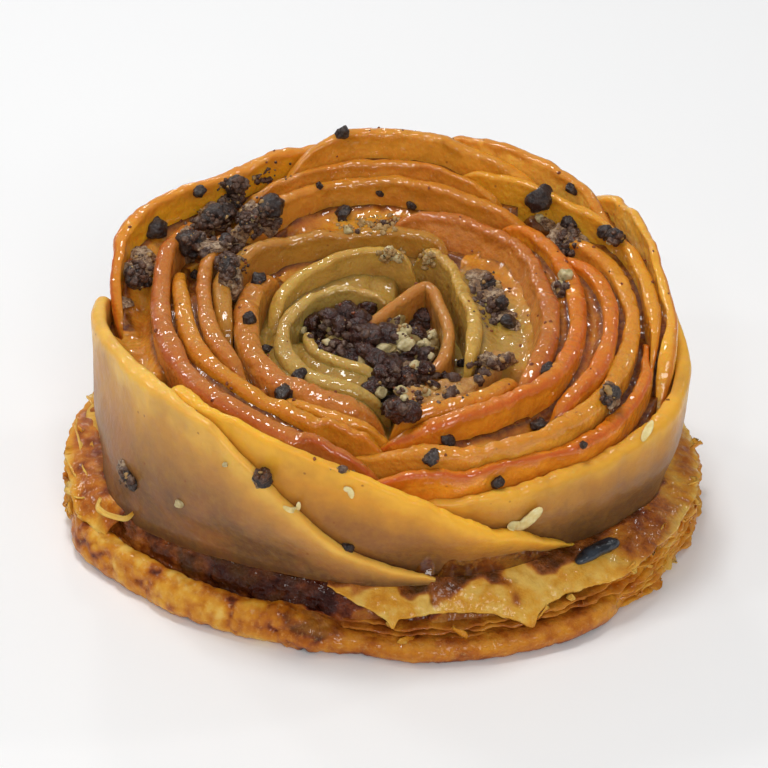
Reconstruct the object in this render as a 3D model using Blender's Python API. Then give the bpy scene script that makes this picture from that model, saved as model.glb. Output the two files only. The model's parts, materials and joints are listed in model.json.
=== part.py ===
"""Apple rose tart: thin half-moon apple slices stood upright and wound into a rose on a puff pastry disc.

Everything is worked out in polar coordinates round the rose's axis, in millimetres, and turned to metres
when a mesh is made. A slice is a curved upright band: its rim follows a few (angle, radius, height) points,
and a packing rule keeps each slice clear of the one outside it.
"""

import math
import random
from collections import namedtuple

import bmesh
import bpy
import numpy as np
from mathutils import Vector

MM = 0.001
GAP = 0.35  # clearance between neighbouring pieces

# Driving sizes of the tart, in millimetres.
ROSE_AXIS = (0.17, -2.97)  # where the rose is wound round, from the middle of the pastry
PASTRY_TOP = 10.5
SLICE_FOOT = PASTRY_TOP + GAP
SLICE_THICKNESS = 2.5
LEAN = 0.05  # how far a slice leans outwards for each millimetre of height
LEAN_HEIGHT = 32.0  # slices are packed at this height

COLUMN_DEG = 6.0
COLUMNS = int(360 / COLUMN_DEG)
TIP_SHARE = 0.16  # share of a slice's length over which a tip thins
TIP_THICKNESS = 0.22

COLOURS = {
    "apple": (0.62, 0.30, 0.06, 1.0),
    "apple_skin": (0.55, 0.16, 0.05, 1.0),
    "apple_pale": (0.48, 0.33, 0.10, 1.0),
    "pastry": (0.60, 0.36, 0.10, 1.0),
    "crumb": (0.07, 0.035, 0.025, 1.0),
    "filling": (0.40, 0.26, 0.13, 1.0),
    "fruit": (0.012, 0.014, 0.02, 1.0),
}

# rim: (angle in degrees, radius, height of the rim) from one tip to the other.
# belly: how far the inner face swells below the rim.
Slice = namedtuple("Slice", "finish rim thickness belly")


def apple(finish, rim, thickness=SLICE_THICKNESS, belly=0.0):
    return Slice(finish, rim, thickness, belly)


# From the outermost slice to the innermost, which is also the order of packing.
SLICES = (
    # the tall wrap on the left, whose tip runs down across the front
    apple("apple_pale", ((158, 45.2, 25), (168, 45.0, 32), (180, 43.6, 34), (198, 40.6, 35.2),
                         (218, 39.4, 36.2), (229, 39.2, 35.6), (237, 38.8, 31.8), (249, 38.1, 24.6),
                         (262, 37.6, 17.6), (281, 37.8, 12.6))),
    # the wrap behind its tip, across the front
    apple("apple_pale", ((204, 36.6, 27), (216, 37.0, 35.6), (232, 37.8, 36.3), (247, 37.2, 33.8),
                         (261, 37.2, 31.2), (270, 37.6, 29), (278, 37.8, 26.6), (290, 38.6, 22),
                         (303, 39.6, 17.6), (313, 40.2, 13.6))),
    # the front right wrap, open to the right
    apple("apple_pale", ((268, 34.6, 17), (280, 35.2, 24.2), (296, 36.8, 25.4), (312, 38.8, 25.5),
                         (330, 42.6, 26.7), (344, 45.5, 28.2), (358, 46.0, 29.4), (370, 45.4, 31),
                         (384, 46.0, 27), (396, 46.4, 17))),
    # the tall wrap at the back left
    apple("apple_skin", ((80, 43.4, 27), (92, 43.0, 38), (103, 42.0, 42), (112, 41.0, 43), (124, 40.8, 41.4),
                         (135, 42.2, 40.3), (147, 44.0, 40), (157, 44.4, 37.4), (165, 42.6, 33),
                         (174, 40.4, 26))),
    # the right-hand outer wrap
    apple("apple_skin", ((344, 42.6, 24), (354, 43.2, 32), (364, 43.6, 34), (376, 44.8, 36.6),
                         (388, 45.4, 39), (396, 44.8, 39.4), (404, 45.4, 36), (414, 45.6, 27))),
    # the dark-edged wrap at the back right
    apple("apple_skin", ((24, 42.2, 28), (34, 42.6, 37.5), (42, 43.0, 41), (52, 43.2, 42.6), (62, 42.8, 43.3),
                         (71, 43.0, 42.8), (79, 43.6, 39), (87, 44.2, 29)), 2.2),
    # the highest slice, at the back
    apple("apple", ((42, 39.8, 30), (50, 40.2, 38.6), (58, 40.4, 41.2), (68, 40.5, 43.2), (78, 40.6, 44.4),
                    (97, 40.4, 44.9), (106, 39.2, 43.8), (115, 38.0, 39), (123, 37.6, 30)), 2.5),
    # the yellow slice behind the right shoulder
    apple("apple", ((350, 40.6, 26), (358, 41.4, 33.4), (368, 41.6, 35), (380, 42.0, 36.8), (392, 41.2, 38.8),
                    (405, 39.2, 40.2), (416, 38.2, 41.2), (425, 37.8, 41), (433, 37.6, 38), (440, 37.6, 29)), 2.3),
    apple("apple", ((52, 35.4, 31), (61, 35.6, 38.8), (72, 36.2, 40.4), (84, 37.4, 41.2), (98, 37.6, 41.5),
                    (110, 37.1, 41.2), (120, 37.2, 40.2), (128, 37.4, 37), (134, 37.6, 30)), 2.3),
    # the orange rim along the front right
    apple("apple_skin", ((258, 33.6, 20), (267, 34.4, 27.6), (277, 34.5, 29.3), (298, 34.9, 28.6),
                         (311, 36.3, 28.6), (324, 38.8, 29), (336, 40.2, 29.8), (347, 40.6, 31),
                         (356, 40.2, 31), (364, 39.6, 25)), 2.2),
    # the long salmon rim on the left
    apple("apple_skin", ((133, 38.6, 29), (142, 39.4, 37.2), (151, 38.4, 37.4), (166, 35.6, 35.8),
                         (182, 33.9, 35.5), (200, 33.4, 35.7), (216, 33.9, 35.7), (232, 33.6, 35),
                         (249, 33.4, 33.2), (259, 33.0, 31.6), (267, 32.4, 28), (274, 31.8, 21)), 3.2),
    # the broad golden slice on the right, from the front joint to the back
    apple("apple", ((264, 29.2, 23), (274, 30.4, 31), (285, 31.8, 31.2), (298, 33.6, 31), (311, 34.6, 31.2),
                    (326, 36.2, 31.7), (345, 37.0, 32.8), (364, 38.1, 34.2), (378, 38.4, 35.9),
                    (390, 37.3, 36.8), (400, 36.6, 34.5), (410, 36.4, 26)), 2.6),
    apple("apple_skin", ((314, 32.8, 25), (324, 33.0, 32.2), (340, 34.0, 33.4), (354, 34.5, 34.5),
                         (368, 35.0, 35.3), (380, 34.6, 36), (389, 33.4, 35.6), (396, 32.9, 30))),
    # the golden ring inside the salmon rim
    apple("apple", ((150, 35.6, 29), (159, 34.2, 35), (172, 31.4, 35.6), (186, 30.0, 35.6), (204, 29.2, 35.5),
                    (222, 28.4, 35.1), (238, 28.3, 34.4), (253, 28.8, 33.5), (264, 29.2, 32),
                    (271, 29.0, 28), (277, 28.6, 22)), 2.7),
    # the strong ring at the back
    apple("apple_skin", ((40, 34.2, 27), (49, 33.7, 36.4), (62, 33.2, 38.3), (76, 33.8, 39.2), (88, 34.8, 39.6),
                         (104, 35.0, 39.5), (118, 33.8, 39.1), (129, 33.8, 37.6), (138, 34.2, 33),
                         (146, 34.6, 27)), 2.6),
    # and on the right
    apple("apple", ((276, 27.0, 25), (285, 27.5, 33), (294, 27.4, 33.4), (308, 27.9, 33.9), (328, 29.4, 34.6),
                    (348, 29.6, 35), (366, 30.0, 35.3), (381, 31.0, 36), (395, 31.6, 36.9), (404, 31.8, 37.2),
                    (412, 31.6, 35.6), (418, 31.4, 28)), 2.6),
    # the salmon edge that comes out from under the crumbs on the left
    apple("apple_skin", ((120, 31.0, 28), (129, 32.2, 35.4), (138, 32.8, 36.7), (148, 32.0, 36.3),
                         (160, 29.8, 35.6), (176, 27.4, 35.3), (192, 26.4, 35.2), (206, 25.6, 34.6),
                         (217, 25.0, 30))),
    # the wide salmon slice on the right
    apple("apple_skin", ((312, 27.0, 25), (322, 26.6, 33.6), (336, 25.9, 35), (354, 25.3, 35.6), (376, 25.8, 36),
                         (394, 27.6, 36.3), (408, 28.9, 36.7), (422, 29.3, 37), (436, 28.5, 37),
                         (444, 28.0, 35.6), (452, 27.6, 29)), 2.8, 1.6),
    apple("apple", ((226, 24.6, 26), (237, 25.2, 33.2), (252, 25.6, 33.4), (263, 26.0, 32.6), (270, 26.0, 30),
                    (276, 25.8, 25)), 1.8),
    apple("apple_skin", ((270, 23.4, 26), (278, 23.9, 33), (287, 24.0, 33.6), (298, 24.4, 33.8),
                         (311, 24.6, 34.1), (322, 23.8, 33), (332, 23.2, 26)), 2.6),
    # the pale golden ring round the heart
    apple("apple_pale", ((60, 24.0, 28), (70, 24.4, 35.4), (80, 24.4, 36.5), (92, 23.8, 36.7), (106, 23.8, 36.7),
                         (118, 24.8, 36.7), (132, 26.8, 36.5), (144, 28.0, 36.1), (157, 27.4, 35.8),
                         (170, 25.4, 35.4), (182, 24.4, 33.6), (190, 23.8, 27)), 3.0),
    # the bubbly ring inside it
    apple("apple", ((134, 22.0, 26), (143, 22.8, 33.2), (152, 22.8, 34.3), (166, 22.0, 34), (184, 21.2, 34),
                    (204, 21.4, 34), (222, 21.7, 33.8), (240, 21.9, 33.5), (255, 22.0, 33.2), (265, 21.8, 31.2),
                    (273, 21.4, 25)), 3.6),
    # the curl whose folded corner stands behind the heart
    apple("apple", ((316, 16.4, 25), (326, 15.5, 33.2), (344, 14.2, 34.1), (366, 13.7, 34.4), (384, 14.0, 34.6),
                    (400, 15.5, 34.8), (412, 17.6, 35), (422, 19.6, 35.1), (430, 21.0, 34.9), (438, 21.4, 31),
                    (446, 21.2, 26)), 2.3),
    apple("apple_pale", ((70, 17.8, 27), (79, 18.8, 34), (90, 20.1, 34.9), (104, 20.0, 34.8), (118, 19.7, 34.4),
                         (134, 19.4, 34), (148, 19.0, 33.2), (158, 18.4, 31), (168, 18.0, 25)), 2.2),
    # the olive slices wound round the heart
    apple("apple_pale", ((80, 9.8, 25), (89, 10.1, 31.4), (102, 11.7, 32.5), (115, 13.3, 32.6), (132, 14.9, 32.6),
                         (152, 15.3, 32.5), (173, 15.4, 32.4), (195, 16.0, 32.2), (216, 16.1, 32),
                         (236, 15.6, 31.8), (250, 15.0, 31.4), (264, 14.6, 29.5), (274, 14.4, 25)), 2.4),
    apple("apple_pale", ((158, 12.4, 25), (168, 12.0, 30.4), (188, 11.0, 31), (206, 9.8, 31), (224, 8.9, 31),
                         (246, 8.2, 30.8), (262, 8.0, 30), (275, 8.1, 26)), 1.7),
)

# The slice folded over the heart: its path in plan from the crumbs up to the fold and down on the right.
TENT_PATH = ((-3.4, 3.2), (-0.6, 6.1), (2.5, 9.2), (5.0, 11.9), (6.6, 12.9), (7.7, 11.4), (8.6, 7.5), (9.5, 3.5),
             (9.9, -0.5), (9.4, -5.0), (8.2, -7.8), (6.2, -9.2))
TENT_RIM = (30.6, 31.6, 32.4, 32.9, 33.0, 33.0, 32.9, 32.7, 32.5, 32.1, 31.5, 30.4)
TENT_THICKNESS = 2.0
TENT_FOOT = 24.6

# Outline of the loose crumbs' core in the heart: angle and radius.
HEART = ((0, 7.6), (38, 9.0), (60, 10.6), (84, 7.8), (115, 10.8), (140, 12.0), (150, 11.6), (162, 9.6), (188, 8.9),
         (206, 7.8), (224, 6.9), (246, 6.3), (275, 6.1), (300, 8.2), (330, 8.2))
HEART_TOP = 23.4
HEART_CRUMBS = 26

# Beds of crumbs and cream between the slices: angle, inner radius, outer radius, height of the top.
FRONT_BED = ((280, 13.6, 21.0, 31.2), (296, 13.8, 21.4, 31.0), (308, 14.6, 20.4, 31.0), (320, 17.6, 19.8, 31.4),
             (332, 16.6, 19.6, 31.6), (344, 15.8, 20.6, 31.6))
RIGHT_BED = ((350, 15.8, 20.6, 30.4), (366, 15.2, 20.6, 30.6), (380, 15.5, 21.2, 31.0), (394, 16.8, 22.6, 31.4),
             (404, 18.2, 23.4, 30.6))

# Single crumbs on the rims: slice number, then angle and size for each.
RIM_CRUMBS = {
    1: ((170, 3.0), (224, 2.0)),
    4: ((115, 2.4), (137, 3.2), (148, 3.4), (160, 3.4)),
    6: ((43, 2.8),),
    7: ((100, 3.4),),
    8: ((385, 2.8), (403, 2.8)),
    9: ((121, 2.6), (127, 2.6)),
    10: ((281, 2.0), (294, 2.2), (314, 2.0)),
    11: ((145, 3.0), (154, 2.8)),
    12: ((287, 2.2), (333, 3.0), (395, 2.6)),
    14: ((246, 1.6), (158, 2.4)),
    15: ((116, 2.8), (122, 2.6), (129, 2.6)),
    16: ((382, 2.8), (330, 2.6)),
    17: ((133, 3.0), (138, 2.8), (143, 3.0), (148, 2.6)),
    19: ((264, 2.2), (235, 2.4)),
    20: ((285, 2.4),),
    21: ((128, 3.0), (135, 3.0), (141, 3.0), (147, 2.8), (157, 3.2), (163, 3.0)),
    22: ((150, 2.4), (185, 2.6), (228, 2.8)),
}
# Crumbs stuck to the outer wall: slice number, then angle, height and size for each.
WALL_CRUMBS = {
    1: ((197, 15.5, 3.2), (238, 27.0, 3.0), (262, 15.0, 2.0)),
}

# The pastry's outline, and the height of its top flake at the edge.
PASTRY_OUTLINE = ((0, 50.5), (20, 50.0), (45, 48.5), (70, 47.6), (90, 47.4), (115, 48.0), (140, 49.4), (162, 50.2),
                  (180, 50.9), (195, 50.2), (207, 48.2), (221, 45.6), (235, 42.6), (250, 40.4), (262, 40.2),
                  (275, 41.4), (290, 43.2), (305, 45.2), (320, 46.2), (335, 47.8), (350, 50.0))
PASTRY_EDGE = ((0, 8.4), (30, 8.2), (60, 7.6), (90, 8.0), (125, 9.4), (150, 11.0), (172, 10.6), (188, 9.2),
               (205, 8.2), (240, 7.8), (258, 6.8), (274, 6.2), (300, 6.4), (320, 7.6), (340, 8.4))
PASTRY_COLUMNS = 72
EDGE_WIDTH = 5.0  # from the outline in to the flat that carries the rose

FRUIT_ENDS = ((28.5, -33.3, 10.5), (35.2, -27.9, 10.5))
FRUIT_RADIUS = 1.25


def clear_scene():
    for thing in list(bpy.data.objects):
        bpy.data.objects.remove(thing, do_unlink=True)


def material(name, roughness=0.4):
    """A Principled material of one of the tart's colours."""
    found = bpy.data.materials.get(name)
    if found:
        return found
    made = bpy.data.materials.new(name)
    made.use_nodes = True
    shader = made.node_tree.nodes["Principled BSDF"]
    shader.inputs["Base Color"].default_value = COLOURS[name]
    shader.inputs["Roughness"].default_value = roughness
    shader.inputs["Metallic"].default_value = 0.0
    return made


def through(points, at, period=None):
    """Smooth values at the places `at` through (place, value) points, with no overshoot between them."""
    x = np.array([p[0] for p in points], float)
    y = np.array([p[1] for p in points], float)
    if period:
        x = np.concatenate([x[-2:] - period, x, x[:2] + period])
        y = np.concatenate([y[-2:], y, y[:2]])
        at = np.mod(at, period)
    step = np.diff(x)
    rise = np.diff(y) / step
    slope = np.zeros_like(y)
    slope[1:-1] = np.where(rise[:-1] * rise[1:] > 0,
                           2 * rise[:-1] * rise[1:] / np.where(rise[:-1] + rise[1:] == 0, 1, rise[:-1] + rise[1:]), 0)
    slope[0], slope[-1] = rise[0], rise[-1]
    i = np.clip(np.searchsorted(x, at, side="right") - 1, 0, len(step) - 1)
    t = (at - x[i]) / step[i]
    return (y[i] * (1 + 2 * t) * (1 - t) ** 2 + slope[i] * step[i] * t * (1 - t) ** 2
            + y[i + 1] * t * t * (3 - 2 * t) - slope[i + 1] * step[i] * t * t * (1 - t))


def place(radius, degrees, height):
    """A point of the rose as a vector in metres."""
    angle = math.radians(degrees)
    return Vector((ROSE_AXIS[0] + radius * math.cos(angle), ROSE_AXIS[1] + radius * math.sin(angle), height)) * MM


def add_object(name, points, faces, finish, roughness=0.4):
    mesh = bpy.data.meshes.new(name)
    mesh.from_pydata([tuple(p) for p in points], [], faces)
    mesh.validate()
    made = bpy.data.objects.new(name, mesh)
    bpy.context.scene.collection.objects.link(made)
    mesh.materials.append(material(finish, roughness))
    tidy = bmesh.new()
    tidy.from_mesh(mesh)
    bmesh.ops.recalc_face_normals(tidy, faces=tidy.faces)
    tidy.to_mesh(mesh)
    tidy.free()
    mesh.shade_smooth()
    mesh.set_sharp_from_angle(angle=math.radians(50))
    return made


def tube_faces(sections, size, closed=False):
    """Faces that join `sections` rings of `size` points each, capped at both ends unless they close on themselves."""
    faces = []
    for i in range(sections if closed else sections - 1):
        j = (i + 1) % sections
        for k in range(size):
            n = (k + 1) % size
            faces.append((i * size + k, i * size + n, j * size + n, j * size + k))
    if not closed:
        faces.append(tuple(range(size)))
        faces.append(tuple((sections - 1) * size + k for k in reversed(range(size))))
    return faces


def packed_slices():
    """For each slice, its columns: (degrees, radius at LEAN_HEIGHT, half thickness, rim height).

    The outermost slice lies where it is asked to; each further one is pushed in until it clears its neighbour.
    """
    limit = np.full(COLUMNS, 1e9)
    packed = []
    for piece in SLICES:
        start, end = piece.rim[0][0], piece.rim[-1][0]
        columns = np.arange(math.ceil(start / COLUMN_DEG), math.floor(end / COLUMN_DEG) + 1)
        degrees = columns * COLUMN_DEG
        along = (degrees - degrees[0]) / (degrees[-1] - degrees[0])
        near_tip = np.clip(np.minimum(along, 1 - along) / TIP_SHARE, 0, 1)
        half = piece.thickness / 2 * (TIP_THICKNESS + (1 - TIP_THICKNESS) * np.sin(near_tip * math.pi / 2))
        rim = through([(a, z) for a, r, z in piece.rim], degrees)
        radius = through([(a, r) for a, r, z in piece.rim], degrees) - LEAN * (rim - LEAN_HEIGHT)
        belly = piece.belly * np.sin(near_tip * math.pi / 2)
        spots = np.mod(columns, COLUMNS)
        radius = np.minimum(radius, limit[spots] - half - GAP)
        limit[spots] = np.minimum(limit[spots], radius - half - belly)
        packed.append([degrees, radius, half, rim, belly])
    return packed


def slice_section(radius, half, rim, belly, swollen):
    """A slice's outline across one column, as (radius, height), from the foot outside over the rim to the inside."""
    round_off = min(half, (rim - SLICE_FOOT) * 0.3)
    shoulder = rim - round_off

    def at(height, side):
        return radius + LEAN * (height - LEAN_HEIGHT) + side

    swell = shoulder - min(3.5, (shoulder - SLICE_FOOT) * 0.4)
    outline = [(at(SLICE_FOOT, half), SLICE_FOOT), (at(shoulder, half), shoulder),
               (at(rim, half * 0.5), rim), (at(rim, -half * 0.5), rim),
               (at(shoulder, -half), shoulder)]
    if swollen:
        outline.append((at(swell, -half - belly), swell))
    outline.append((at(SLICE_FOOT, -half - belly), SLICE_FOOT))
    return outline


def make_slice(number, piece, columns):
    points = []
    size = 0
    for degrees, radius, half, rim, belly in zip(*columns):
        section = slice_section(radius, half, rim, belly, piece.belly > 0)
        size = len(section)
        points += [place(r, degrees, z) for r, z in section]
    sections = len(points) // size
    return add_object(f"apple_slice_{number:02d}", points, tube_faces(sections, size), piece.finish)


def make_tent():
    """The folded slice: a band of even thickness along its path in plan, pushed out along the path's normals."""
    path = np.array(TENT_PATH)
    along = np.gradient(path, axis=0)
    along /= np.linalg.norm(along, axis=1)[:, None]
    across = np.stack([along[:, 1], -along[:, 0]], axis=1)
    ends = np.minimum(np.arange(len(path)), np.arange(len(path))[::-1])
    half = TENT_THICKNESS / 2 * np.where(ends == 0, 0.45, 1.0)
    points = []
    for spot, side, wide, rim in zip(path, across, half, TENT_RIM):
        for share, height in ((1, TENT_FOOT), (1, rim - wide), (0.5, rim), (-0.5, rim), (-1, rim - wide),
                              (-1, TENT_FOOT)):
            x, y = spot + side * wide * share
            points.append(Vector((ROSE_AXIS[0] + x, ROSE_AXIS[1] + y, height)) * MM)
    return add_object(f"apple_slice_{len(SLICES) + 1:02d}", points, tube_faces(len(path), 6), "apple")


def crumb_mesh(rng, size, at):
    """A lump of 20 triangles: an icosahedron squashed and dented at random."""
    shape = bmesh.new()
    bmesh.ops.create_icosphere(shape, subdivisions=1, radius=size / 2 * MM)
    squash = Vector((rng.uniform(0.85, 1.1), rng.uniform(0.8, 1.05), rng.uniform(0.75, 0.95)))
    turn = rng.uniform(0, math.tau)
    for vertex in shape.verts:
        spot = vertex.co * rng.uniform(0.84, 1.08)
        spot = Vector((spot.x * squash.x, spot.y * squash.y, spot.z * squash.z))
        vertex.co = at + Vector((spot.x * math.cos(turn) - spot.y * math.sin(turn),
                                 spot.x * math.sin(turn) + spot.y * math.cos(turn), spot.z))
    mesh = bpy.data.meshes.new("crumb")
    shape.to_mesh(mesh)
    shape.free()
    return mesh


def keep_outer_shell(mesh):
    """Keeps the largest shell of a mesh, which fills a hollow that fusing has sealed and drops a loose scrap."""
    shape = bmesh.new()
    shape.from_mesh(mesh)
    shape.verts.ensure_lookup_table()
    unseen = set(range(len(shape.verts)))
    shells = []
    while unseen:
        reached = [unseen.pop()]
        for index in reached:
            for edge in shape.verts[index].link_edges:
                other = edge.other_vert(shape.verts[index]).index
                if other in unseen:
                    unseen.remove(other)
                    reached.append(other)
        shells.append(reached)
    shells.sort(key=len)
    spare = [shape.verts[index] for shell in shells[:-1] for index in shell]
    bmesh.ops.delete(shape, geom=spare, context="VERTS")
    shape.to_mesh(mesh)
    shape.free()


def fuse(body, lumps):
    """Joins the lumps to the body with one Boolean union, applied."""
    group = bpy.data.collections.new(body.name + "_lumps")
    bpy.context.scene.collection.children.link(group)
    for mesh in lumps:
        group.objects.link(bpy.data.objects.new("crumb", mesh))
    union = body.modifiers.new("crumbs", "BOOLEAN")
    union.operation = "UNION"
    union.operand_type = "COLLECTION"
    union.collection = group
    union.solver = "EXACT"
    bpy.context.view_layer.update()
    evaluated = body.evaluated_get(bpy.context.evaluated_depsgraph_get())
    joined = bpy.data.meshes.new_from_object(evaluated)
    keep_outer_shell(joined)
    body.modifiers.clear()
    body.data = joined
    for lump in list(group.objects):
        bpy.data.objects.remove(lump, do_unlink=True)
    bpy.data.collections.remove(group)


def crumbs_of_slice(number, columns, rng):
    """The crumbs on a slice's rim, sunk a little into it, and those stuck to its outer face."""
    degrees, radius, half, rim, belly = columns
    lumps = []
    for angle, size in RIM_CRUMBS.get(number, ()):
        top = np.interp(angle, degrees, rim)
        middle = np.interp(angle, degrees, radius) + LEAN * (top - LEAN_HEIGHT)
        lumps.append(crumb_mesh(rng, size, place(middle, angle, top + size * 0.12)))
    for angle, height, size in WALL_CRUMBS.get(number, ()):
        face = np.interp(angle, degrees, radius + half) + LEAN * (height - LEAN_HEIGHT)
        lumps.append(crumb_mesh(rng, size, place(face + size * 0.1, angle, height)))
    return lumps


def wave(angle, seed, *beats):
    """An uneven value between about -1 and 1 that closes on itself round the tart."""
    return sum(math.sin(beat * angle + seed * (k + 1.7) * 2.399) / (1 + 0.35 * k)
               for k, beat in enumerate(beats)) / (0.75 * len(beats))


def pastry_profile(degrees):
    """The pastry's section at one angle, as (radius, height), from under the middle round the edge to the top."""
    angle = math.radians(degrees)
    edge = through(PASTRY_OUTLINE, np.array([degrees]), 360)[0]
    top = through(PASTRY_EDGE, np.array([degrees]), 360)[0]
    ragged = wave(angle, 3, 11, 19, 31)
    flake = wave(angle, 5, 9, 17, 37)
    layer = wave(angle, 8, 7, 13, 29)
    lift = 0.5 + 0.5 * max(0.0, wave(angle, 2, 3, 5))
    left = max(0.0, -math.cos(angle))
    trench = 1.6 * max(0.0, math.cos(angle - math.radians(236))) ** 3
    flat = edge - EDGE_WIDTH
    return [
        (edge - 8.0, 0.0),
        (edge - 1.8, lift),
        (edge - 0.2 + 0.35 * ragged, 0.26 * top),
        (edge - 0.6 + 0.3 * ragged, 0.42 * top),
        (edge - 2.2 - 0.5 * layer, 0.47 * top),
        (edge - 0.9 - 0.5 * layer, 0.56 * top),
        (edge - 1.2 - 0.3 * layer, 0.66 * top),
        (edge - 2.6 - 0.4 * flake, 0.71 * top),
        (edge - 0.7 + 0.7 * flake + 0.3 * left, 0.84 * top),
        (edge - 1.6 + 0.5 * flake, top + 0.2 * ragged),
        (edge - 3.0, top + 0.25 * (PASTRY_TOP - top) - trench + 0.2 * layer),
        (flat - 0.6, PASTRY_TOP - 0.45 - 0.35 * trench),
        (flat - 2.2, PASTRY_TOP),
        (flat * 0.5, PASTRY_TOP),
    ]


def make_pastry():
    points = []
    size = 0
    for column in range(PASTRY_COLUMNS):
        degrees = column * 360 / PASTRY_COLUMNS
        profile = pastry_profile(degrees)
        size = len(profile)
        points += [place(r, degrees, z) for r, z in profile]
    faces = []
    for i in range(PASTRY_COLUMNS):
        j = (i + 1) % PASTRY_COLUMNS
        for k in range(size - 1):
            faces.append((i * size + k, j * size + k, j * size + k + 1, i * size + k + 1))
    faces.append(tuple(i * size for i in reversed(range(PASTRY_COLUMNS))))
    faces.append(tuple(i * size + size - 1 for i in range(PASTRY_COLUMNS)))
    return add_object("pastry_base", points, faces, "pastry", 0.5)


def make_bed(name, stations, finish, rng, crumbs):
    """A bumpy bed that fills the space between two rings of slices, with crumbs sunk in its top."""
    angles = np.arange(stations[0][0], stations[-1][0] + 0.1, 3.0)
    inner = through([(s[0], s[1]) for s in stations], angles)
    outer = through([(s[0], s[2]) for s in stations], angles)
    height = through([(s[0], s[3]) for s in stations], angles)
    points = []
    shares = (0.0, 0.12, 0.5, 0.88, 1.0)
    for a, low, high, top in zip(angles, inner, outer, height):
        points.append(place(low, a, SLICE_FOOT))
        for k, share in enumerate(shares):
            bump = rng.uniform(-0.4, 0.4) - (1.2 if k in (0, len(shares) - 1) else 0)
            points.append(place(low + (high - low) * share, a, top + bump))
        points.append(place(high, a, SLICE_FOOT))
    bed = add_object(name, points, tube_faces(len(angles), len(shares) + 2), finish, 0.7)
    lumps = []
    for _ in range(crumbs):
        a = rng.uniform(angles[0] + 4, angles[-1] - 4)
        size = rng.uniform(2.0, 3.0)
        low, high, top = (np.interp(a, angles, values) for values in (inner, outer, height))
        radius = rng.uniform(low + size * 0.55, high - size * 0.55)
        lumps.append(crumb_mesh(rng, size, place(radius, a, top + size * 0.1)))
    fuse(bed, lumps)
    return bed


def tent_clearance(x, y):
    """How far a point in plan lies from the folded slice's middle line."""
    path = np.array(TENT_PATH)
    start, run = path[:-1], np.diff(path, axis=0)
    share = np.clip(((np.array([x, y]) - start) * run).sum(1) / (run * run).sum(1), 0, 1)
    return np.linalg.norm(start + run * share[:, None] - (x, y), axis=1).min()


def make_heart(rng):
    """The heap of crumbs in the heart: a bumpy core that fills it, and crumbs piled on top, clear of the fold."""
    columns = 30
    angles = np.arange(columns) * 360 / columns
    edge = through(HEART, angles, 360)
    points = []
    for a, radius in zip(angles, edge):
        points.append(place(radius, a, SLICE_FOOT))
        points.append(place(radius, a, HEART_TOP - 1.0))
        points.append(place(radius * 0.8, a, HEART_TOP + rng.uniform(-0.3, 0.3)))
        points.append(place(radius * 0.45, a, HEART_TOP + rng.uniform(-0.3, 0.5)))
    faces = []
    for i in range(columns):
        j = (i + 1) % columns
        for k in range(3):
            faces.append((i * 4 + k, j * 4 + k, j * 4 + k + 1, i * 4 + k + 1))
    faces.append(tuple(i * 4 for i in reversed(range(columns))))
    faces.append(tuple(i * 4 + 3 for i in range(columns)))
    heart = add_object("crumb_heap", points, faces, "crumb", 0.8)
    lumps = []
    while len(lumps) < HEART_CRUMBS:
        a = rng.uniform(0, 360)
        share = math.sqrt(rng.uniform(0, 1))
        size = rng.uniform(2.6, 3.8)
        radius = share * (through(HEART, np.array([a]), 360)[0] - size * 0.5)
        x, y = radius * math.cos(math.radians(a)), radius * math.sin(math.radians(a))
        if tent_clearance(x, y) < size * 0.55 + TENT_THICKNESS / 2 + GAP:
            continue
        level = len(lumps) % 2
        lumps.append(crumb_mesh(rng, size, place(radius, a, HEART_TOP + 0.5 + level * 2.0)))
    fuse(heart, lumps)
    return heart


def make_fruit():
    """The dark dried fruit lying on the pastry at the front right: a bent, tapered rod."""
    start, end = Vector(FRUIT_ENDS[0]), Vector(FRUIT_ENDS[1])
    along = (end - start).normalized()
    side = along.cross(Vector((0, 0, 1))).normalized()
    up = side.cross(along)
    points = []
    shares = (0.0, 0.12, 0.5, 0.88, 1.0)
    widths = (0.45, 0.9, 1.0, 0.85, 0.4)
    sides = 8
    for share, width in zip(shares, widths):
        middle = start.lerp(end, share) + up * 0.5 * math.sin(share * math.pi)
        for k in range(sides):
            turn = math.tau * k / sides
            spot = middle + (side * math.cos(turn) + up * math.sin(turn) * 0.85) * FRUIT_RADIUS * width
            points.append(spot * MM)
    return add_object("dried_fruit", points, tube_faces(len(shares), sides), "fruit", 0.3)


def main():
    clear_scene()
    rng = random.Random(11)
    make_pastry()
    for number, (piece, columns) in enumerate(zip(SLICES, packed_slices()), 1):
        body = make_slice(number, piece, columns)
        lumps = crumbs_of_slice(number, columns, rng)
        if lumps:
            fuse(body, lumps)
    make_tent()
    make_heart(rng)
    make_bed("cream_bed_front", FRONT_BED, "filling", rng, 8)
    make_bed("crumb_bed_right", RIGHT_BED, "crumb", rng, 8)
    make_fruit()


main()
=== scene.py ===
"""Looks of an apple rose tart: glazed apple bands, flaky pastry, syrup, crumbs and bits of cream.

Lengths are in millimetres and angles in degrees round the rose's axis until a mesh is made, which is in
metres. Every surface is a grid of points worked out with numpy from a function of two parameters.
"""

import json
import math
from collections import namedtuple

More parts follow.
